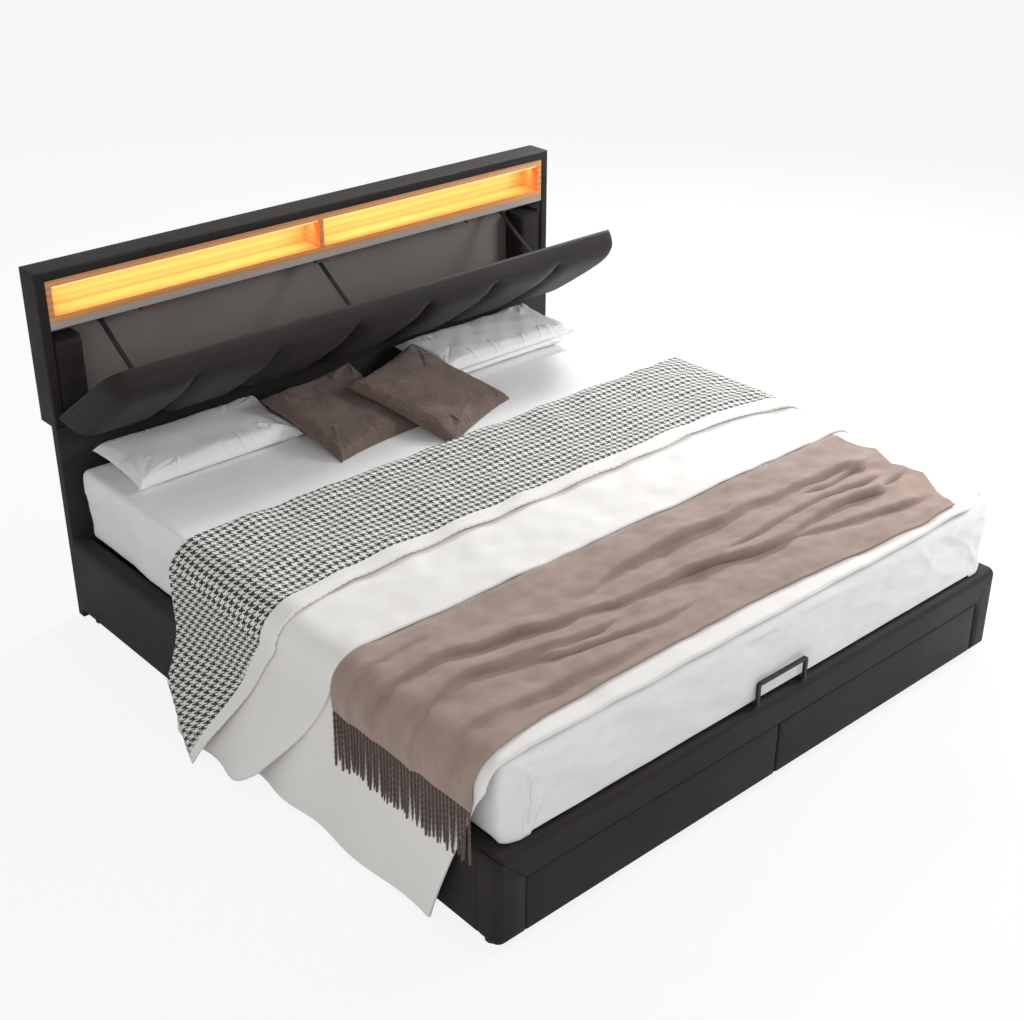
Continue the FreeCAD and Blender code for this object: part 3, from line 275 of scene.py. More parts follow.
black_steel = hard("black_steel", srgb(34, 33, 33), srgb(46, 45, 44), 0.42, 900.0, 0.0002, Metallic=0.3)
zinc_steel = hard("zinc_steel", srgb(176, 178, 182), srgb(150, 152, 156), 0.34, 260.0, 0.0002, Metallic=0.9)
black_plastic = hard("black_plastic", srgb(30, 30, 31), srgb(40, 40, 41), 0.5, 700.0, 0.0003)
catch_brown = hard("catch_brown", srgb(112, 72, 52), srgb(92, 58, 42), 0.5, 600.0, 0.0003)
strip_net = Net("light_strip", Emission_Color=srgb(255, 186, 96), Emission_Strength=1.2)
strip_dots = strip_net.noise(240.0, 2.0)
strip_shade = strip_net.mix(strip_dots, srgb(255, 226, 170), srgb(255, 240, 205))
light_strip = strip_net.finish(strip_shade, ranged(strip_net, strip_dots, 0.3, 0.45), strip_dots, 0.0002)

# Each slot of the frame gets its material, and a few nodes get their own.
named = (
    upholstery, lining_grey, plywood, oak_trim, black_steel, zinc_steel, black_plastic, light_strip,
    white_cotton, check_cotton, fleece, catch_brown)
slot_materials = {material.name.split(".")[0]: material for material in named}
slot_materials.update(cushion_cloth=cushion_plush, webbing=black_webbing)
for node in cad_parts.values():
    for place, packed in enumerate(node.data.materials):
        node.data.materials[place] = slot_materials[packed.name.split(".")[0]]
for node_name in ("headboard_legs", "headboard_lower_panel", "headboard_back_board", "rail_boards"):
    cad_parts[node_name].data.materials[0] = dark_cloth
for node_name, material in (
        ("flap_board", upholstery), ("headboard_boards", lining_grey), ("shelf_band", band_grey),
        ("cubby_box", lit_oak), ("cubby_divider", lit_oak)):
    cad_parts[node_name].data.materials[0] = material


def stops(low, high, step, edge=(0.0015, 0.004, 0.008, 0.014)):
    """Places from low to high, a step apart, with closer ones at both ends."""
    count = max(2, round((high - low) / step))
    inner = np.linspace(low, high, count + 1)
    near = [low + e for e in edge] + [high - e for e in edge]
    inner = inner[(inner > low + edge[-1] * 1.3) & (inner < high - edge[-1] * 1.3)]
    return np.unique(np.concatenate([[low], near, inner, [high]]).round(6))


def quads(rows, columns, start=0, wrap=False):
    """Faces of a grid of rows by columns whose vertices begin at start."""
    index = np.arange(rows * columns).reshape(rows, columns) + start
    if wrap:
        index = np.concatenate([index, index[:, :1]], 1)
    return np.stack([index[:-1, :-1], index[:-1, 1:], index[1:, 1:], index[1:, :-1]], -1).reshape(-1, 4)


def normals(grid):
    """Unit normals of a grid of points."""
    down = np.gradient(grid, axis=0)
    across = np.gradient(grid, axis=1)
    facing = np.cross(down, across)
    length = np.linalg.norm(facing, axis=2, keepdims=True)
    return facing / np.maximum(length, 1e-12)


def piece(name, points, faces, materials, uv=None, which=None):
    """A smooth mesh object, with uv in metres and a material number per face if given."""
    mesh = bpy.data.meshes.new(name)
    mesh.from_pydata(points.reshape(-1, 3).tolist(), [], faces.tolist())
    for entry in materials if isinstance(materials, (list, tuple)) else [materials]:
        mesh.materials.append(entry)
    if uv is not None:
        corners = np.zeros(len(mesh.loops), np.int64)
        mesh.loops.foreach_get("vertex_index", corners)
        layer = mesh.uv_layers.new(name="UVMap")
        layer.data.foreach_set("uv", uv.reshape(-1, 2)[corners].astype(np.float32).ravel())
    if which is not None:
        mesh.polygons.foreach_set("material_index", which.astype(np.int32))
    mesh.polygons.foreach_set("use_smooth", np.ones(len(mesh.polygons), bool))
    mesh.validate()
    mesh.update()
    made = bpy.data.objects.new(name, mesh)
    scene.collection.objects.link(made)
    return made


def joined(made, gap, close=False):
    """Joins points within the gap, closes holes if asked and turns the faces outward."""
    work = bmesh.new()
    work.from_mesh(made.data)
    bmesh.ops.remove_doubles(work, verts=work.verts, dist=gap)
    bmesh.ops.dissolve_degenerate(work, edges=work.edges, dist=1e-5)
    if close:
        bmesh.ops.holes_fill(work, edges=work.edges)
    bmesh.ops.recalc_face_normals(work, faces=work.faces)
    work.to_mesh(made.data)
    work.free()
    return made


def skins(name, grids, material, weld=0.0004):
    """Several grids as one skin, welded where they meet."""
    points = np.concatenate([g.reshape(-1, 3) for g in grids])
    starts = np.cumsum([0] + [g.shape[0] * g.shape[1] for g in grids])
    faces = np.concatenate([quads(g.shape[0], g.shape[1], s) for g, s in zip(grids, starts)])
    return joined(piece(name, points, faces, material), weld)


def lengths(grid, axis):
    """How far each point of a grid lies from the first row or column, along the surface."""
    run = np.cumsum(np.linalg.norm(np.diff(grid, axis=axis), axis=2), axis)
    return np.concatenate([np.zeros_like(np.take(run, [0], axis)), run], axis)


def line_run(points):
    """The length along a line at each of its points."""
    return np.concatenate([[0], np.cumsum(np.hypot(*np.diff(points, axis=0).T))])


def ramp(value, start, width):
    """0 at start and 1 a width further on; a negative width leads to the other side."""
    return np.clip((value - start) / width, 0, 1)


def between(share, low, high):
    """The value at a share of the way from low to high."""
    return low + (high - low) * share


def bulge(share):
    """A quarter round from 0 to 1."""
    return np.sqrt(1 - (1 - share) ** 2)


def eased(share):
    """A smooth step from 0 to 1."""
    return share * share * (3 - 2 * share)


def slab(name, grid, half, round_edge, materials, which=None, uv=None):
    """A closed sheet of cloth: grid is its middle surface, half its half thickness, its border is rounded."""
    rows, columns = grid.shape[:2]
    down = lengths(grid, 0)
    over = lengths(grid, 1)
    border = np.minimum(np.minimum(down, down[-1:] - down), np.minimum(over, over[:, -1:] - over))
    thick = (half * np.maximum(bulge(ramp(border, 0, round_edge)), 0.12))[..., None]
    facing = normals(grid)
    points = np.concatenate([(grid + facing * thick).reshape(-1, 3), (grid - facing * thick).reshape(-1, 3)])
    top = quads(rows, columns)
    count = rows * columns
    index = np.arange(count).reshape(rows, columns)
    rim = [
        np.stack([edge[:-1], edge[:-1] + count, edge[1:] + count, edge[1:]], -1)
        for edge in (index[0], index[-1, ::-1], index[::-1, 0], index[:, -1])]
    faces = np.concatenate([top, top[:, ::-1] + count] + rim)
    if uv is None:
        uv = np.stack([over, down], -1)
    if which is not None:
        rim_count = sum(len(r) for r in rim)
        which = np.concatenate([which.ravel(), which.ravel(), np.zeros(rim_count)])
    return piece(name, points, faces, materials, np.concatenate([uv.reshape(-1, 2)] * 2), which)


def ripple(x, y, size, seed):
    """Smooth random waves about size metres long, mostly between -1 and 1."""
    count = 9
    chance = np.random.default_rng(seed)
    total = np.zeros_like(x)
    for _ in range(count):
        angle = chance.uniform(0, 2 * math.pi)
        wave = size * chance.uniform(0.6, 1.7)
        turned = x * math.cos(angle) + y * math.sin(angle)
        total += np.sin(turned * 2 * math.pi / wave + chance.uniform(0, 2 * math.pi))
    return total / math.sqrt(count)


def rounded_line(points):
    """The line with its corners cut three times."""
    points = np.array(points, float)
    for _ in range(3):
        first = points[:-1] * 0.75 + points[1:] * 0.25
        second = points[:-1] * 0.25 + points[1:] * 0.75
        cut = np.concatenate([first, second], 1)
        points = np.concatenate([points[:1], cut.reshape(-1, 2), points[-1:]])
    return points


def ridges(x, y, lines):
    """Creases: each line is (height, width, points), highest along its run and fading at its ends."""
    total = np.zeros_like(x)
    for height, width, points in lines:
        nearest = np.full_like(x, 9.0)
        for (ax, ay), (bx, by) in zip(points[:-1], points[1:]):
            share = ((x - ax) * (bx - ax) + (y - ay) * (by - ay)) / ((bx - ax) ** 2 + (by - ay) ** 2)
            share = np.clip(share, 0, 1)
            nearest = np.minimum(nearest, np.hypot(x - ax - share * (bx - ax), y - ay - share * (by - ay)))
        total += height * np.exp(-(nearest / width) ** 2)
    return total


# Foot rail cover: padded cloth over the foot rail and its two posts, mitred from each drawer's top corner,
# wrapped round the corners and sewn to the side covers.
half = 1.04
quarter_turn = 1.571
rail_top = 0.3
base_low = 0.03
opening_top = 0.205
rail_depth = 0.05
seam_y = -0.966
post_x = 0.949
edge_round = 0.024
turn_x = half - edge_round
sides = ((1, "right"), (-1, "left"))


def over_edge(low):
    """Rows of a rail's skin as (inset, height): up its face, over the rounded edge, across its top."""
    face = [(0.0, z) for z in np.linspace(low, rail_top - edge_round, 8)]
    turn = [
        (edge_round * (1 - math.cos(a)), rail_top - edge_round * (1 - math.sin(a)))
        for a in np.linspace(0.2, quarter_turn, 7)]
    top = [(0.034, rail_top), (0.045, rail_top), (0.0488, 0.2988), (rail_depth, 0.295), (rail_depth, 0.287)]
    return face + turn + top


def foot_path(inset, run):
    """The foot cover's outline at an inset from its face; run holds (x, y, the angle it faces)."""
    reach = max(edge_round - inset, 0)
    return [
        (min(x + reach * math.cos(angle), half - inset), max(y - reach * math.sin(angle), inset - half))
        for x, y, angle in run]


def front_run(places):
    """Points of a run along the foot end's face."""
    return [(x, -turn_x, math.pi / 2) for x in places]


def seam_tuck(distance):
    """How far a sewn edge is drawn in at a distance from its seam."""
    return 0.0022 * math.exp(-(distance / 0.0035) ** 2)


right_run = [(turn_x, seam_y - step, 0) for step in (0, 0.0015, 0.004, 0.008, 0.02)]
right_run += [(turn_x, -turn_x, angle) for angle in np.linspace(0, math.pi / 2, 7)]
right_run += front_run((0.985, post_x))
top_rows = []
for inset, z in over_edge(opening_top):
    path = foot_path(inset, right_run + front_run(np.linspace(post_x, 0, 22)[1:]))
    row = [(x - seam_tuck(y - seam_y) if y > -half + rail_depth else x, y, z) for x, y in path]
    top_rows.append(row + [(-x, y, z) for x, y, z in row[::-1][1:]])
low_edge = [(0.008, base_low), (0.0025, base_low + 0.0015), (0.0, base_low + 0.006)]
post_rows = []
for inset, z in [(0.035, base_low)] + low_edge + [(0.0, z) for z in np.linspace(0.05, opening_top, 6)]:
    row = [(x - seam_tuck(y - seam_y), y, z) for x, y in foot_path(inset, right_run)]
    row += [(post_x, -half + max(inset, d), z) for d in (0.004, 0.02, rail_depth)]
    post_rows.append(row)
under_rows = []
for d in (0.0, 0.004, 0.02, rail_depth):
    under_rows.append([(x, -half + d, opening_top) for x in np.linspace(-post_x, post_x, 30)])
post_grid = np.array(post_rows)
foot_cover = skins("foot_cover", [
    np.array(top_rows), post_grid, post_grid * (-1, 1, 1), np.array(under_rows)], mitred_upholstery)
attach(foot_cover, "frame")
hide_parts("foot_rail_cover")

# Side rail covers: the same padded cloth along both side rails, sewn to the foot cover.
for side, side_name in sides:
    rows = []
    for inset, z in [(0.03, base_low)] + low_edge + over_edge(0.05):
        row = []
        for y in stops(seam_y, half, 0.08, (0.0015, 0.004, 0.008)):
            swell = 0.0012 * math.sin(math.pi * min(1, (y - seam_y) / 0.2) / 2)
            out = swell if inset == 0 else 0
            row.append((side * (half - inset - seam_tuck(y - seam_y) + out), y, z))
        rows.append(row)
    side_cover = skins("side_cover_" + side_name, [np.array(rows)], upholstery)
    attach(side_cover, "frame")
    if side > 0:
        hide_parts("side_rail_covers")


def pad_box(x, z, front, depth, radius, crown, step):
    """The skin of a padded board seen from its front: rounded edges, a slight crown, sides going back."""
    places = []
    for low, high in (x, z):
        line = stops(low, high, step, tuple(radius * s for s in (0.08, 0.3, 0.6, 1.0)))
        places.append(np.concatenate([[low, low], line, [high, high]]))
    deep = [np.concatenate([[depth, radius], np.zeros(len(p) - 4), [radius, depth]]) for p in places]
    grid_x, grid_z = np.meshgrid(places[0], places[1], indexing="ij")
    back = np.maximum(deep[0][:, None], deep[1][None, :])
    near_x = np.clip(radius - np.minimum(grid_x - x[0], x[1] - grid_x), 0, radius)
    near_z = np.clip(radius - np.minimum(grid_z - z[0], z[1] - grid_z), 0, radius)
    bend = radius - np.sqrt(np.maximum(radius ** 2 - near_x ** 2 - near_z ** 2, 0))
    swell = crown * np.sin(math.pi * (grid_x - x[0]) / (x[1] - x[0])) ** 0.4
    swell *= np.sin(np.clip(math.pi * (grid_z - z[0]) / (z[1] - z[0]), 0, math.pi)) ** 0.6
    grid_y = front + np.where(back > radius * 1.01, back, bend - np.where(back > 0, 0, swell))
    return np.stack([grid_x, grid_y, grid_z], -1)


# Drawer fronts: a padded cloth cover over each front board, flush with the foot rail.
front_grid = pad_box((0.002, 0.947), (0.03, 0.203), -1.04, 0.037, 0.007, 0.0012, 0.06)
for side, side_name in sides:
    cover = skins("drawer_cover_" + side_name, [front_grid * (side, 1, 1)], upholstery)
    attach(cover, "drawer_" + side_name)
    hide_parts("drawer_front_cover_" + side_name)

# Side blocks of the headboard compartment: upholstered, with a rounded top.
block_grid = pad_box((0.904, 1.0048), (0.7225, 0.963), 1.044, 0.083, 0.02, 0.001, 0.03)
right_block = skins("side_block_right", [block_grid], upholstery)
left_block = skins("side_block_left", [block_grid * (-1, 1, 1)], upholstery)
for made in (right_block, left_block):
    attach(made, "frame")
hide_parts("side_blocks")

# Headboard surround: one length of cloth over the box's outer faces and front edges, mitred at corners.
outer = (1.036, 0.684, 1.188)
member = (0.031, 0.038, 0.03)
skin_front = 1.04
skin_back = 1.1398
side_lengths = (2.05, 0.48)
turn_shares = [(0.2 * (1 - math.cos(a)), 0.006 * (1 - math.sin(a))) for a in np.linspace(0, quarter_turn, 5)]
profile = [(0.45, skin_back), (0.02, skin_back), (0.0, skin_back - 0.003), (0.0, 1.1), (0.0, 1.06)]
profile += [(inward, skin_front + back) for inward, back in turn_shares]
profile += [(0.5, skin_front), (0.8, skin_front)]
profile += [(1 - inward, skin_front + back) for inward, back in turn_shares[::-1]]
profile += [(1.0, skin_front + 0.0085)]
surround_rows = []
for inward, y in profile:
    side_x = outer[0] - member[0] * inward
    low = outer[1] + member[1] * inward
    high = outer[2] - member[2] * inward
    corners = np.array([(-side_x, low), (side_x, low), (side_x, high), (-side_x, high), (-side_x, low)])
    row = []
    for start, end, length in zip(corners, corners[1:], side_lengths * 2):
        for distance in stops(0, length, 0.1, (0.0015, 0.004, 0.009, 0.02))[:-1]:
            near = min(distance, length - distance)
            tuck = 0.0016 * math.exp(-(near / 0.004) ** 2) if 0.1 < inward < 0.95 else 0
            x, z = between(distance / length, start, end)
            row.append((x, y + tuck, z))
    surround_rows.append(row + row[:1])
surround = skins("headboard_cover", [np.array(surround_rows)], upholstery)
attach(surround, "frame")
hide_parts("headboard_surround")

# Flap pad: foam in seven sewn channels on the drop-down flap, drawn in at its ends and top edge.
hinge_y = 1.035
hinge_z = 0.726
flap_turn = math.radians(55)
pad_half = 1.0306
pad_low = 0.008
pad_long = 0.442
pad_front = 0.014
pad_deep = 0.087
channel = 0.294
pad_profile = np.array([
    (0.0, -0.165), (0.0, 0.0), (0.0, 0.2), (0.0, 0.45), (0.012, 0.72), (0.05, 0.9), (0.13, 0.975),
    (0.25, 1.0), (0.45, 1.0), (0.65, 0.985), (0.8, 0.94), (0.9, 0.85), (0.965, 0.66), (0.993, 0.42),
    (1.002, 0.2), (1.004, 0.0), (1.004, -0.14), (0.998, -0.168)])
fine = np.linspace(0, 1, 52)
run = line_run(pad_profile * (pad_long, pad_deep))
section = np.stack([np.interp(fine, run / run[-1], values) for values in pad_profile.T], 1)
for _ in range(2):
    section[1:-1] = (section[:-2] + 2 * section[1:-1] + section[2:]) / 4
profile_u, profile_v = section.T
seams = [(n - 2.5) * channel for n in range(6)]
pad_x = stops(-pad_half, pad_half, 0.014, (0.0005, 0.002, 0.005, 0.01, 0.016, 0.024, 0.034, 0.046))
beside = (0, 0.0025, 0.005, 0.008, 0.012)
for seam in seams:
    pad_x = np.concatenate([pad_x, seam + np.array(beside), seam - np.array(beside)])
pad_x = np.unique(pad_x.round(5))
grid_u, grid_x = np.meshgrid(np.arange(len(fine)), pad_x, indexing="ij")
share_u = profile_u[grid_u]
share_v = profile_v[grid_u]
nearest_seam = np.min([np.abs(grid_x - s) for s in seams], 0)
lobe = np.abs(grid_x / channel - np.round(grid_x / channel)) * 2
fade = ramp(share_v, 0.45, 0.45)
groove = 0.03 * lobe ** 6 + 0.007 * np.exp(-(nearest_seam / 0.005) ** 1.3) * fade
groove *= eased(fade)
end = bulge(ramp(np.abs(grid_x), pad_half, -0.06))
out_u = -np.gradient(profile_v * pad_deep)[grid_u]
out_v = np.gradient(profile_u * pad_long)[grid_u]
out_size = np.hypot(out_u, out_v)
pucker = 0.0014 * ripple(grid_x * 0.5, share_u * 0.4, 0.05, 4) * np.exp(-(nearest_seam / 0.06) ** 2)
depth = (groove - pucker * np.clip(share_v, 0, 1)) * end
drawn_in = 0.13 * (1 - end) * (0.5 - share_u) * np.clip(share_v * 2, 0, 1)
corner_cut = 0.24 * (1 - bulge(ramp(np.abs(grid_x), pad_half, -0.05))) * share_u ** 2
pad_u = pad_low + pad_long * (share_u + drawn_in - corner_cut) - depth * out_u / out_size
fullness = np.where(share_v > 0, 0.08 + 0.92 * end, 1)
pad_v = pad_front + pad_deep * share_v * fullness - depth * out_v / out_size
# Each end closes on a rounded edge.
pad_middle = 0.008
pad_v = pad_middle + (pad_v - pad_middle) * bulge(ramp(np.abs(grid_x), pad_half, -0.009))
pad_y = hinge_y - (pad_v * math.cos(flap_turn) + pad_u * math.sin(flap_turn))
pad_z = hinge_z + pad_u * math.cos(flap_turn) - pad_v * math.sin(flap_turn)
pad_grid = np.stack([grid_x, pad_y, pad_z], -1)
pad_back = np.stack([pad_grid[0], pad_grid[-1]])
half_rows = len(fine) // 2
pad_ends = [np.stack([pad_grid[:half_rows, k], pad_grid[:half_rows - 1:-1, k]], 0) for k in (0, -1)]
flap_pad = skins("flap_padding", [pad_grid, pad_back] + pad_ends, upholstery, 0.0002)
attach(flap_pad, "flap")
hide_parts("flap_pad")

# Stays: three black webbing straps between the shelf and the flap board.
stay_top = np.array((1.069, 0.987))
stay_end = np.array((0.864, 0.853))
stay_rows = 25
for number, x in enumerate((-0.827, 0.0, 0.827)):
    line = np.linspace(0, 1, stay_rows)
    drop = between(line[:, None], stay_top, stay_end)
    sag = 0.003 * np.sin(math.pi * line)
    grid = np.zeros((stay_rows, 5, 3))
    grid[:, :, 0] = x + np.linspace(-0.009, 0.009, 5)[None, :]
    grid[:, :, 1] = drop[:, :1]
    grid[:, :, 2] = (drop[:, 1] - sag)[:, None]
    stay = slab("stay_%d" % number, grid, 0.0011, 0.0016, black_webbing)
    if number == 0:
        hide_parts("flap_stays")
    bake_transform(stay)


# Mattress in its white fitted sheet: a firm block with soft edges, slack cloth and folded foot corners.
mattress_y = (-1.018, 1.015)
mid_z = 0.438
corner = 0.04
edge_line = rounded_line([
    (0.0, 0.3265), (0.945, 0.3265), (0.954, 0.3265), (0.956, 0.304), (0.985, 0.302), (0.986, 0.34),
    (0.988, 0.41), (0.998, 0.47), (1.0, 0.515), (0.992, 0.5498), (0.955, 0.5498), (0.93, 0.5498),
    (0.0, 0.5498)])
run = line_run(edge_line)
flat = np.linspace(0, 0.9, 60)
fine = np.concatenate([flat, np.linspace(0.92, run[-1] - 0.92, 44), run[-1] - flat[::-1]])
side_x, side_z = (np.interp(fine, run, values) for values in edge_line.T)
loop_x = np.concatenate([side_x, -side_x[-2:0:-1]])
loop_z = np.concatenate([side_z, side_z[-2:0:-1]])
half_high = 0.1118
half_low = 0.136
edge_high = 0.041
end_rings = 14
closing = [
    (half_high * k + edge_high * (1 - k), half_low * k + 0.0125 * (1 - k), 0.0)
    for k in np.linspace(1, 0, end_rings)]
closing += [
    (corner * (1 - math.sin(a)), 0.012 * (1 - math.sin(a)), corner * (1 - math.cos(a)))
    for a in np.linspace(0.15, quarter_turn, 7)]
middle = [(0.0, 0.0, y) for y in np.linspace(mattress_y[0] + corner, mattress_y[1] - corner, 110)[1:-1]]
stations = [(top, low, mattress_y[0] + back) for top, low, back in closing] + middle
stations += [(top, low, mattress_y[1] - back) for top, low, back in closing[::-1]]
rows = []
for top, low, y in stations:
    drawn = np.where(loop_z > mid_z, 1 - top / half_high, 1 - low / half_low).clip(0)
    side_in = np.maximum(np.abs(loop_x) - 0.9, 0)
    side_in *= ramp(top, edge_high, half_high - edge_high)
    across = np.sign(loop_x) * (np.abs(loop_x) - side_in) * (1 - min(top, edge_high) / 0.965)
    rows.append(np.stack([across, np.full_like(loop_x, y), mid_z + (loop_z - mid_z) * drawn], -1))
grid = np.array(rows)
x, y, z = np.moveaxis(grid, -1, 0)
low_wall = ramp(np.abs(x), 0.96, 0.02) * ramp(z, 0.5, -0.05)
x += np.sign(x) * 0.011 * low_wall * ramp(y, 0.74, -0.12)
on_foot = ramp(y, -0.975, -0.03)
tucked = on_foot * ramp(z, 0.42, -0.06)
slat_gap = 0.0225
least_z = 0.304 + slat_gap * (1 - tucked) * (np.abs(x) < 0.95)
z[:] = np.maximum(z - slat_gap * tucked, least_z)
facing = -normals(np.concatenate([grid[:, -1:], grid, grid[:, :1]], 1))[:, 1:-1]
facing[:end_rings] = (0, -1, 0)
facing[-end_rings:] = (0, 1, 0)
slack = 0.0022 * ripple(x + z, y, 0.35, 11)
slack += 0.0012 * ripple(x * 0.6, y + z, 0.09, 12)
foot_creases = [
    (0.007, 0.006, [(-0.94, 0.32), (-0.935, 0.4), (-0.925, 0.49)]),
    (-0.005, 0.006, [(-0.92, 0.33), (-0.913, 0.46)]),
    (0.004, 0.008, [(-0.9, 0.36), (-0.84, 0.43), (-0.74, 0.5)]),
    (-0.004, 0.007, [(-0.87, 0.35), (-0.8, 0.42), (-0.7, 0.48)]),
    (0.003, 0.01, [(0.94, 0.35), (0.88, 0.43), (0.76, 0.51)]),
    (0.003, 0.008, [(0.82, 0.35), (0.7, 0.42), (0.62, 0.51)])]
wrinkles = 0.0012 * ripple(x, z * 1.4, 0.13, 5)
wrinkles += 0.0006 * ripple(x + z, z - x * 0.3, 0.05, 6)
belly = 0.003 * np.sin(math.pi * (z - 0.3) / 0.25)
slack += on_foot * (ridges(x, z, foot_creases) + wrinkles + belly)
slack += ramp(np.abs(x), 0.93, 0.03) * 0.0016 * ripple(y, z * 0.4, 0.16, 8)
slack *= np.clip((z - 0.31) / 0.04, 0.15, 1)
grid += facing * np.minimum(slack, 0.009)[..., None]
z[:] = np.clip(z, 0.303, 0.5501)
# The head end sinks between the rails when the platform lifts, and clears them.
lifted_z = 0.3696 - 0.4698 * y + 0.8828 * z
room = 0.9855 + 0.8 * np.clip(lifted_z - 0.305, 0, 1)
x[:] = np.clip(x, -room, room)
mattress_faces = quads(grid.shape[0], grid.shape[1], wrap=True)
mattress = joined(piece("mattress_in_sheet", grid, mattress_faces, white_cotton), 0.0003, True)
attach(mattress, "platform")
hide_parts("mattress")

# Bedding over the mattress. Across is measured from the bed's middle over the top, round the shoulder, down.
# right is 0 at the left shoulder, 1 at the right one.
shoulder_x = 0.985
shoulder_z = 0.4883


def bed_waves(grid):
    """The slow waves that every layer on the bed follows."""
    x, y, _ = np.moveaxis(grid, -1, 0)
    return 0.003 * ripple(x, y, 0.28, 21) + 0.0012 * ripple(x, y, 0.1, 22)


def drape(across, y, radius, flare, lean=None):
    """Points and the depth below the shoulder of cloth that turns down at radius round both shoulders."""
    side = np.sign(across)
    length = np.abs(across)
    right = np.clip(across / shoulder_x, -1, 1) / 2 + 0.5
    turn = np.clip((length - shoulder_x) / radius, 0, math.pi / 2)
    fall = np.maximum(length - shoulder_x - radius * math.pi / 2, 0)
    # The lowest layer's right foot corner hangs closer to the mattress.
    close = 0.62 * ramp(y, -0.6, -0.25) * (across > shoulder_x) * (radius < 0.08)
    x = np.minimum(length, shoulder_x) + radius * np.sin(turn) * (1 - close) + flare(fall, y, right)
    z = shoulder_z + radius * np.cos(turn) - fall
    if lean is not None:
        y = lean(fall, y, right)
    return np.stack([side * x, y, z], -1), fall


def down_to(hem, radius):
    """The length across that reaches down to a height."""
    return shoulder_x + radius * math.pi / 2 + shoulder_z - hem


def opening(fall, full):
    """0 beside the throw and 1 at the floor."""
    return eased(ramp(fall / full, 0.3, 0.7))


full_fall = shoulder_z - 0.014
duvet_foot = -1.013
duvet_head = 0.32

# Duvet: a thin quilt in a white cover with a houndstooth reverse. Its lowest layer lies over the whole bed
# and hangs to the floor on both sides; the head end is turned back twice, reverse side up.
def main_flare(fall, y, right):
    open_out = opening(fall, full_fall)
    fold = 0.5 + 0.5 * np.sin(y * 2 * math.pi / 0.37 + 1.1 * np.sin(y * 4) + 0.6)
    wide = between(right, 0.02, 0.012 + 0.04 * np.clip(y + 0.6, 0, 1))
    return open_out * (wide + 0.014 * fold) + 0.003 * opening(fall, full_fall * 0.6)


def main_lean(fall, y, right):
    share = fall / full_fall
    foot = duvet_foot + between(right, 0.18 * share ** 0.75, 0.35 * share ** 1.3)
    foot = foot + 0.05 * ramp(right, 0.93, 0.07) ** 2
    head = duvet_head - 0.05 * share
    return foot + (head - foot) * (y - duvet_foot) / (duvet_head - duvet_foot)


layer_radius = 0.069
y_line = stops(duvet_foot, duvet_head, 0.016, (0.001, 0.003, 0.006, 0.01))
reach = down_to(0.016, layer_radius)
a_line = stops(-reach, reach, 0.016, (0.001, 0.003, 0.006, 0.01))
over, along = np.meshgrid(a_line, y_line, indexing="ij")
grid, fall = drape(over, along, layer_radius, main_flare, main_lean)
top = ramp(np.abs(over), 1.02, -0.05)
grid[..., 2] += top * (0.0012 + bed_waves(grid))
main_layer = slab("duvet", grid, 0.0072, 0.008, duvet_cotton)


def turned_layer(name, low, radius, thick, hem, flare, lean, materials, which=None, seed=1, lift=None):
    """A turned-back layer: its share along the bed is 0 at the free edge and 1 at the head fold."""
    y_line = stops(0, 1, 0.015, (0.0012, 0.004, 0.009, 0.016))
    left = np.linspace(0, 1, 46)
    top_line = stops(-shoulder_x, shoulder_x, 0.018, (0.004, 0.01))
    right = np.linspace(0, 1, 34)
    columns = []
    for share in y_line:
        left_reach = down_to(hem(share, 0), radius)
        right_reach = down_to(hem(share, 1), radius)
        columns.append(np.concatenate([
            -left_reach + (left_reach - shoulder_x) * left ** 0.96, top_line[1:-1],
            shoulder_x + (right_reach - shoulder_x) * right ** 1.04]))
    over = np.array(columns).T
    share = np.broadcast_to(y_line[None, :], over.shape)
    grid, fall = drape(over, share, radius, flare, lean)
    top = ramp(np.abs(over), 1.03, -0.06)
    rough = bed_waves(grid) + 0.0011 * ripple(grid[..., 0], grid[..., 1], 0.13, seed)
    rough += 0.004 * np.exp(-((share - 0.06) / 0.05) ** 2)
    grid[..., 2] += top * (rough + 0.0035 + (0 if lift is None else lift(grid[..., 0], grid[..., 1])))
    which = None if which is None else which((share[:-1, :-1] + share[1:, 1:]) / 2)
    across = lengths(grid, 0)
    across -= across[len(over) // 2]
    uv = np.stack([across, low + lengths(grid, 1)], -1)
    return slab(name, grid, thick / 2, thick * 0.55, materials, which, uv)


# The first turned-back layer: white, from the head fold to a soft free edge above the throw.
def second_flare(fall, share, right):
    wave = 0.5 + 0.5 * np.sin(share * 2 * math.pi * 1.2 + 1.0)
    return opening(fall, full_fall) * (between(right, 0.07, 0.05) + 0.02 * wave)


def second_lean(fall, share, right):
    depth = fall / full_fall
    low = -0.432 + between(right, 0.35, 0.12) * depth ** 1.2
    return between(share, low, 0.316 - 0.08 * depth)


def second_hem(share, right):
    return 0.03 if right else 0.018 + 0.012 * share + 0.075 * math.exp(-share / 0.05)


second_layer = turned_layer(
    "duvet_second_layer", -0.43, 0.0825, 0.0125, second_hem, second_flare, second_lean, duvet_cotton, seed=31)


# The last layer: the houndstooth reverse, with a plain white hem along its free edge.
def band_flare(fall, share, right):
    return opening(fall, full_fall) * between(right, 0.115 - 0.015 * share, 0.085)


def band_lean(fall, share, right):
    depth = fall / full_fall
    edge = np.interp(
        right, [0, 0.1, 0.4, 0.65, 0.85, 0.95, 1], [-0.2, -0.165, -0.16, -0.16, -0.155, -0.175, -0.22])
    low = edge + between(right, 0.3, 0.05) * depth ** 0.9
    return between(share, low, 0.328 - between(right, 0.03, 0.06) * depth)


def band_hem(share, right):
    return 0.05 if right else 0.014 + 0.15 * share ** 1.2


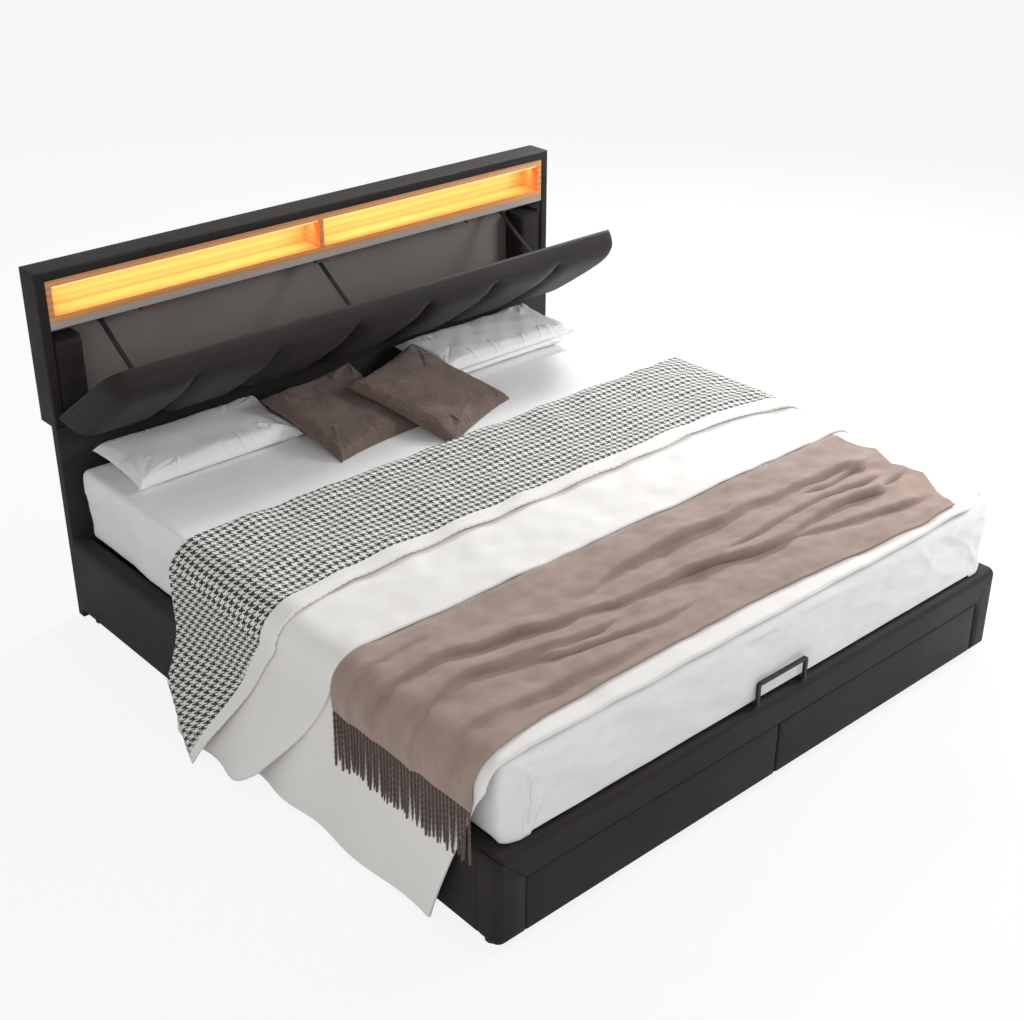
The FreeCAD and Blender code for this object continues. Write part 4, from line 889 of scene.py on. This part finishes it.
def white_hem(share):
    """The hem's faces have the second material."""
    return (share < 0.122).astype(int)


def quilted(x, y):
    """Soft ridges along the bed's width."""
    return 0.0022 * np.sin(y * 2 * math.pi / 0.085 + 1.4 * ripple(x, y, 0.5, 47)) + 0.002


reverse_layer = turned_layer(
    "duvet_reverse_band", -0.16, 0.0955, 0.012, band_hem, band_flare, band_lean,
    [check_cotton, duvet_cotton], white_hem, seed=41, lift=quilted)
for made in (main_layer, second_layer, reverse_layer):
    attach(made, "platform")
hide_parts("duvet_top", "duvet_sides_left", "duvet_side_right")
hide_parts("duvet_folded_layers")

# Throw: a fleece laid across the foot, pulled into long folds, with a fringe at its left end.
# Each fold is (height, width, its line over the bed), steep on its foot side.
throw_radius = 0.0815
throw_low, throw_high = -0.978, -0.432
throw_left = -down_to(0.43, throw_radius)
throw_folds = [
    (0.02, 0.022, [
        (-0.5, -0.67), (-0.25, -0.72), (-0.05, -0.7), (0.2, -0.785), (0.43, -0.745), (0.6, -0.735),
        (0.8, -0.8)]),
    (0.018, 0.026, [
        (-1.3, -0.79), (-1.05, -0.74), (-0.9, -0.694), (-0.735, -0.724), (-0.57, -0.755), (-0.31, -0.771)]),
    (0.016, 0.024, [(-1.25, -0.62), (-0.926, -0.583), (-0.723, -0.619), (-0.526, -0.673), (-0.35, -0.665)]),
    (0.018, 0.028, [
        (-0.45, -0.64), (-0.17, -0.562), (0.07, -0.555), (0.41, -0.584), (0.69, -0.578), (0.88, -0.64)]),
    (0.014, 0.02, [
        (-0.15, -0.71), (0.1, -0.72), (0.316, -0.69), (0.511, -0.68), (0.67, -0.7), (0.86, -0.72)]),
    (0.015, 0.022, [(-0.75, -0.75), (-0.514, -0.803), (-0.34, -0.836), (-0.1, -0.84)]),
    (0.014, 0.02, [(0.231, -0.765), (0.441, -0.82), (0.648, -0.86), (0.85, -0.9)]),
    (0.012, 0.03, [(-1.2, -0.88), (-0.9, -0.86), (-0.6, -0.88), (-0.3, -0.9)]),
    (0.014, 0.018, [(0.45, -0.63), (0.65, -0.64), (0.8, -0.62), (0.95, -0.6)]),
    (0.012, 0.016, [(0.62, -0.78), (0.75, -0.76), (0.95, -0.74)]),
    (0.01, 0.02, [(-1.3, -0.53), (-1.0, -0.5), (-0.75, -0.51)]),
]
throw_right = 0.95
a_line = stops(throw_left, throw_right, 0.0115, (0.0008, 0.0025, 0.005))
y_line = stops(0, 1, 0.0066, (0.0014, 0.0045))
over, share = np.meshgrid(a_line, y_line, indexing="ij")
foot_side = np.interp(
    over, [-1.1, -1.0, -0.78, -0.5, 0.07, 0.41, 0.8, 0.95],
    [-0.985, -0.985, -0.955, -0.948, -0.945, -0.965, -0.99, -0.985])
head_side = -0.437 + 0.006 * ripple(over, 0 * over, 0.5, 54)
along = between(share, foot_side, head_side)
right_end = np.interp(
    along, [-0.98, -0.9, -0.8, -0.7, -0.6, -0.5, -0.43], [0.83, 0.86, 0.93, 0.9, 0.955, 0.93, 0.945])
over = throw_left + (over - throw_left) * (right_end - throw_left) / (throw_right - throw_left)
grid, fall = drape(over, along, throw_radius, lambda fall, y, right: 0 * fall)
grid[..., 2] += ramp(np.abs(over), 1.02, -0.05) * bed_waves(grid)
creases = 0.0024 * ripple(over * 0.25, along, 0.1, 51) + 0.0008 * ripple(over, along, 0.07, 52)
leaning = np.zeros_like(creases)
for height, width, line in throw_folds:
    path = rounded_line(line)
    behind = along + 0.004 * ripple(over, along, 0.3, 55) - np.interp(over, path[:, 0], path[:, 1])
    steep = np.where(behind < 0, 0.42 * width, 1.35 * width)
    window = ramp(over, path[0, 0], 0.14) * ramp(over, path[-1, 0], -0.14)
    window *= 0.8 + 0.2 * np.sin(over * 9 + 40 * width)
    bent = np.exp(-np.abs(behind / steep) ** 1.6) - 0.35 * np.exp(-((behind + 1.3 * width) / width) ** 2)
    folded = 1.4 * height * eased(window)
    creases += folded * bent
    leaning += folded * np.exp(-np.abs(behind / (0.8 * width)) ** 2)
edge_near = np.minimum(np.minimum(share, 1 - share) * 0.55, (over - throw_left) * 0.5)
creases = (creases + 0.006) * np.clip(edge_near / 0.03, 0.3, 1)
facing = normals(grid)
facing *= np.sign(facing[..., 2:3] + facing[..., :1] * np.sign(grid[..., :1]))
grid = grid + facing * (np.clip(creases, -0.001, 0.036) + 0.001)[..., None]
grid[..., 1] -= 0.85 * leaning * ramp(edge_near, 0, 0.06)
throw = slab("throw_blanket", grid, 0.0035, 0.004, fleece)
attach(throw, "platform")
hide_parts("throw")

# Fringe: forty twisted strands of the throw's own yarn.
strand_count = 40
strand_rings = 26
strand_sides = 8
share, angle = np.meshgrid(
    np.linspace(0, 1, strand_rings), np.arange(strand_sides) * 2 * math.pi / strand_sides, indexing="ij")
radius = 0.0036 * (1 + 0.22 * np.cos(2 * (angle - share * 2 * math.pi * 4.5)))
radius *= 1 - 0.25 * ramp(share, 0.9, 0.1)
strands = []
faces = []
chance = np.random.default_rng(6)
for y in np.linspace(throw_low + 0.007, throw_high - 0.007, strand_count):
    long = 0.165 + 0.012 * chance.uniform(-1, 1)
    sway = chance.uniform(-0.006, 0.006)
    swing = chance.uniform(-0.003, 0.004)
    start = len(strands) * share.size
    strands.append(np.stack([
        -1.0672 - swing * share ** 2 + radius * np.cos(angle),
        y + sway * share ** 2 + radius * np.sin(angle), 0.4325 - long * share], -1))
    faces += quads(strand_rings, strand_sides, start, True).tolist()
    for low in (start, start + share.size - strand_sides):
        faces += [[low + a for a in quad] for quad in ((0, 1, 2, 3), (0, 3, 4, 7), (4, 5, 6, 7))]
fringe = piece("fringe", np.array(strands), np.array(faces), fringe_yarn)
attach(fringe, "platform")
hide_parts("throw_fringe")


def shaped(made):
    """The object's mesh takes the form its modifiers give it, and they come off."""
    formed = bpy.data.meshes.new_from_object(made.evaluated_get(bpy.context.evaluated_depsgraph_get()))
    made.modifiers.clear()
    made.data = formed


def vertices(made):
    """The places of a mesh's points."""
    flat = np.zeros(len(made.data.vertices) * 3)
    made.data.vertices.foreach_get("co", flat)
    return flat.reshape(-1, 3)


def filled(made, low, high, cap):
    """The filling presses the case out in a cloth simulation. Points move up to cap, from low to high."""
    last_step = 20
    assign(made.modifiers.new("remesh", "REMESH"), mode="VOXEL", voxel_size=0.0055)
    shaped(made)
    before = vertices(made)
    filling = made.modifiers.new("filling", "CLOTH")
    filling.point_cache.frame_end = last_step
    assign(
        filling.settings, quality=5, mass=0.25, tension_stiffness=18, compression_stiffness=12,
        shear_stiffness=6, bending_stiffness=0.25, use_pressure=True, uniform_pressure_force=5)
    filling.settings.effector_weights.gravity = 0
    for step in range(1, last_step + 1):
        scene.frame_set(step)
    shaped(made)
    moved = vertices(made) - before
    far = np.linalg.norm(moved, axis=1, keepdims=True)
    after = before + moved * np.minimum(1, cap / np.maximum(far, 1e-9))
    limit = np.where(after[:, 2] > 0, high, -low)
    after[:, 2] = limit * np.tanh(1.25 * after[:, 2] / limit)
    made.data.vertices.foreach_set("co", after.ravel())
    made.modifiers.new("finer", "SUBSURF").levels = 1
    shaped(made)
    scene.frame_set(1)


def plump(name, size, place, material, seed, crown, belly=0.024, pinch=0.05, tilt=0, yaw=0, bold=1.0):
    """A filled square: two crowned faces meet at a seam, with creases at corners and seams."""
    side = np.sin(np.linspace(-math.pi / 2, math.pi / 2, 61))
    u, v = np.meshgrid(side, side, indexing="ij")
    x = size[0] / 2 * u * (1 - pinch * (1 - v ** 2))
    y = size[1] / 2 * v * (1 - pinch * (1 - u ** 2))
    rise = ((1 - np.abs(u) ** 3.2) * (1 - np.abs(v) ** 3.2)) ** 0.5
    top = np.stack([x, y, 0.8 * crown * rise], -1)
    bottom = np.stack([x, y, -0.8 * belly * rise], -1)[:, ::-1]
    made = skins(name, [top, bottom], material, 0.0003)
    filled(made, -belly, crown, 0.014)
    chance = np.random.default_rng(seed)
    lines = []
    for corner in np.array([(-1, -1), (1, -1), (1, 1), (-1, 1)]):
        start = 0.455 * corner * size
        for _ in range(6):
            angle = math.radians(chance.uniform(6, 84))
            long = chance.uniform(0.15, 0.45) * min(size)
            end = start - long * corner * (math.cos(angle), math.sin(angle))
            bend = (start + end) / 2 + chance.uniform(-0.012, 0.012, 2)
            height = bold * chance.uniform(-0.004, 0.005)
            lines.append((height, chance.uniform(0.006, 0.012), rounded_line([start, bend, end])))
    for _ in range(18):
        at = chance.uniform(-0.45, 0.45) * size[0]
        edge = chance.choice((-1, 1)) * size[1] * 0.47
        end = (at + chance.uniform(-0.03, 0.03), edge - math.copysign(chance.uniform(0.03, 0.09), edge))
        height = bold * chance.uniform(-0.003, 0.004)
        lines.append((height, chance.uniform(0.004, 0.008), [(at, edge), end]))
    points = vertices(made)
    inner = 1 - np.clip(np.abs(2 * points[:, :2] / size), 0, 1) ** 6
    crease = ridges(points[:, 0], points[:, 1], lines)
    crease += bold * 0.002 * ripple(points[:, 0], points[:, 1], 0.12, seed + 1)
    points[:, 2] += ramp(points[:, 2], 0, 0.3 * crown) * crease * inner[:, 0] * inner[:, 1]
    made.data.vertices.foreach_set("co", points.ravel())
    made.data.update()
    turn = Matrix.Rotation(math.radians(yaw), 4, "Z") @ Matrix.Rotation(math.radians(tilt), 4, "X")
    made.data.transform(Matrix.Translation(place) @ turn)
    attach(made, "platform")
    return made


# Pillows in white cotton cases under the flap, and two plush cushions with a pressed relief.
pillow_left = plump(
    "pillow_left_case", (0.63, 0.31), (-0.64, 0.862, 0.5793), white_cotton, 61, crown=0.05, pinch=0.03,
    tilt=6)
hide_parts("pillow_left")
pillow_low = plump(
    "pillow_low_case", (0.6, 0.27), (0.575, 0.862, 0.5736), white_cotton, 62, crown=0.03)
pillow_high = plump(
    "pillow_high_case", (0.65, 0.31), (0.575, 0.862, 0.6092), white_cotton, 63, crown=0.04, belly=0.012,
    pinch=0.03, tilt=3)
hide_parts("pillows_right")
cushion_left = plump(
    "cushion_left_case", (0.42, 0.42), (-0.183, 0.705, 0.6), cushion_plush, 64, crown=0.043, tilt=15,
    yaw=7, bold=1.5)
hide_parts("cushion_left")
cushion_right = plump(
    "cushion_right_case", (0.44, 0.44), (0.113, 0.615, 0.613), cushion_plush, 65, crown=0.043, tilt=18,
    yaw=22, bold=1.5)
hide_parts("cushion_right")


def area_light(name, place, turn, **values):
    """An area light at a place."""
    made = bpy.data.objects.new(name, bpy.data.lights.new(name, "AREA"))
    assign(made.data, **values)
    assign(made, location=place, rotation_euler=turn)
    scene.collection.objects.link(made)


# Warm light from the strips in the cubbies.
for x in (-0.4975, 0.4975):
    area_light(
        "cubby_glow", (x, 1.078, 1.132), (math.radians(22), 0, 0), shape="RECTANGLE", size=0.96, size_y=0.01,
        energy=1.7, spread=math.radians(130), color=srgb(255, 201, 172)[:3])

# Stage: a plain pale floor and soft studio light, strongest from the right.
floor_mesh = bpy.data.meshes.new("floor")
floor_mesh.from_pydata([(-12, -12, 0), (12, -12, 0), (12, 12, 0), (-12, 12, 0)], [], [(0, 1, 2, 3)])
floor = bpy.data.objects.new("floor", floor_mesh)
scene.collection.objects.link(floor)
floor_net = Net("floor", Roughness=0.9, Base_Color=(0.9, 0.9, 0.9, 1))
seen = floor_net.put("LightPath", "Is Camera Ray")
white = floor_net.put("Emission", Color=(1, 1, 1, 1), Strength=1.0)
mixed = floor_net.put(
    "MixShader", Fac=floor_net.times(seen, 0.86), _1=floor_net.shader.outputs[0], _2=white)
floor_net.feed(floor_net.tree.nodes["Material Output"], Surface=mixed)
floor_mesh.materials.append(floor_net.material)
world = bpy.data.worlds.new("studio")
scene.world = world
world.use_nodes = True
sky = world.node_tree.nodes["Background"]
path = world.node_tree.nodes.new("ShaderNodeLightPath")
bright = world.node_tree.nodes.new("ShaderNodeMapRange")
bright.inputs["To Min"].default_value = 0.5
bright.inputs["To Max"].default_value = 1.0
world.node_tree.links.new(path.outputs["Is Camera Ray"], bright.inputs["Value"])
world.node_tree.links.new(bright.outputs[0], sky.inputs["Strength"])
sky.inputs["Color"].default_value = (1, 1, 1, 1)
studio = (
    ("key", (3.7, 1.9, 3.3), (0.1, -0.4, 0.5), 0.9, 165),
    ("right", (2.9, -1.6, 2.2), (0.6, 0.3, 0.5), 1.2, 75),
    ("left", (-4.5, -3.0, 3.2), (0, 0, 0.3), 3.0, 60),
)
for name, place, aim, size, energy in studio:
    turn = (Vector(aim) - Vector(place)).to_track_quat("-Z", "Y").to_euler()
    area_light(name, place, turn, size=size, energy=energy)
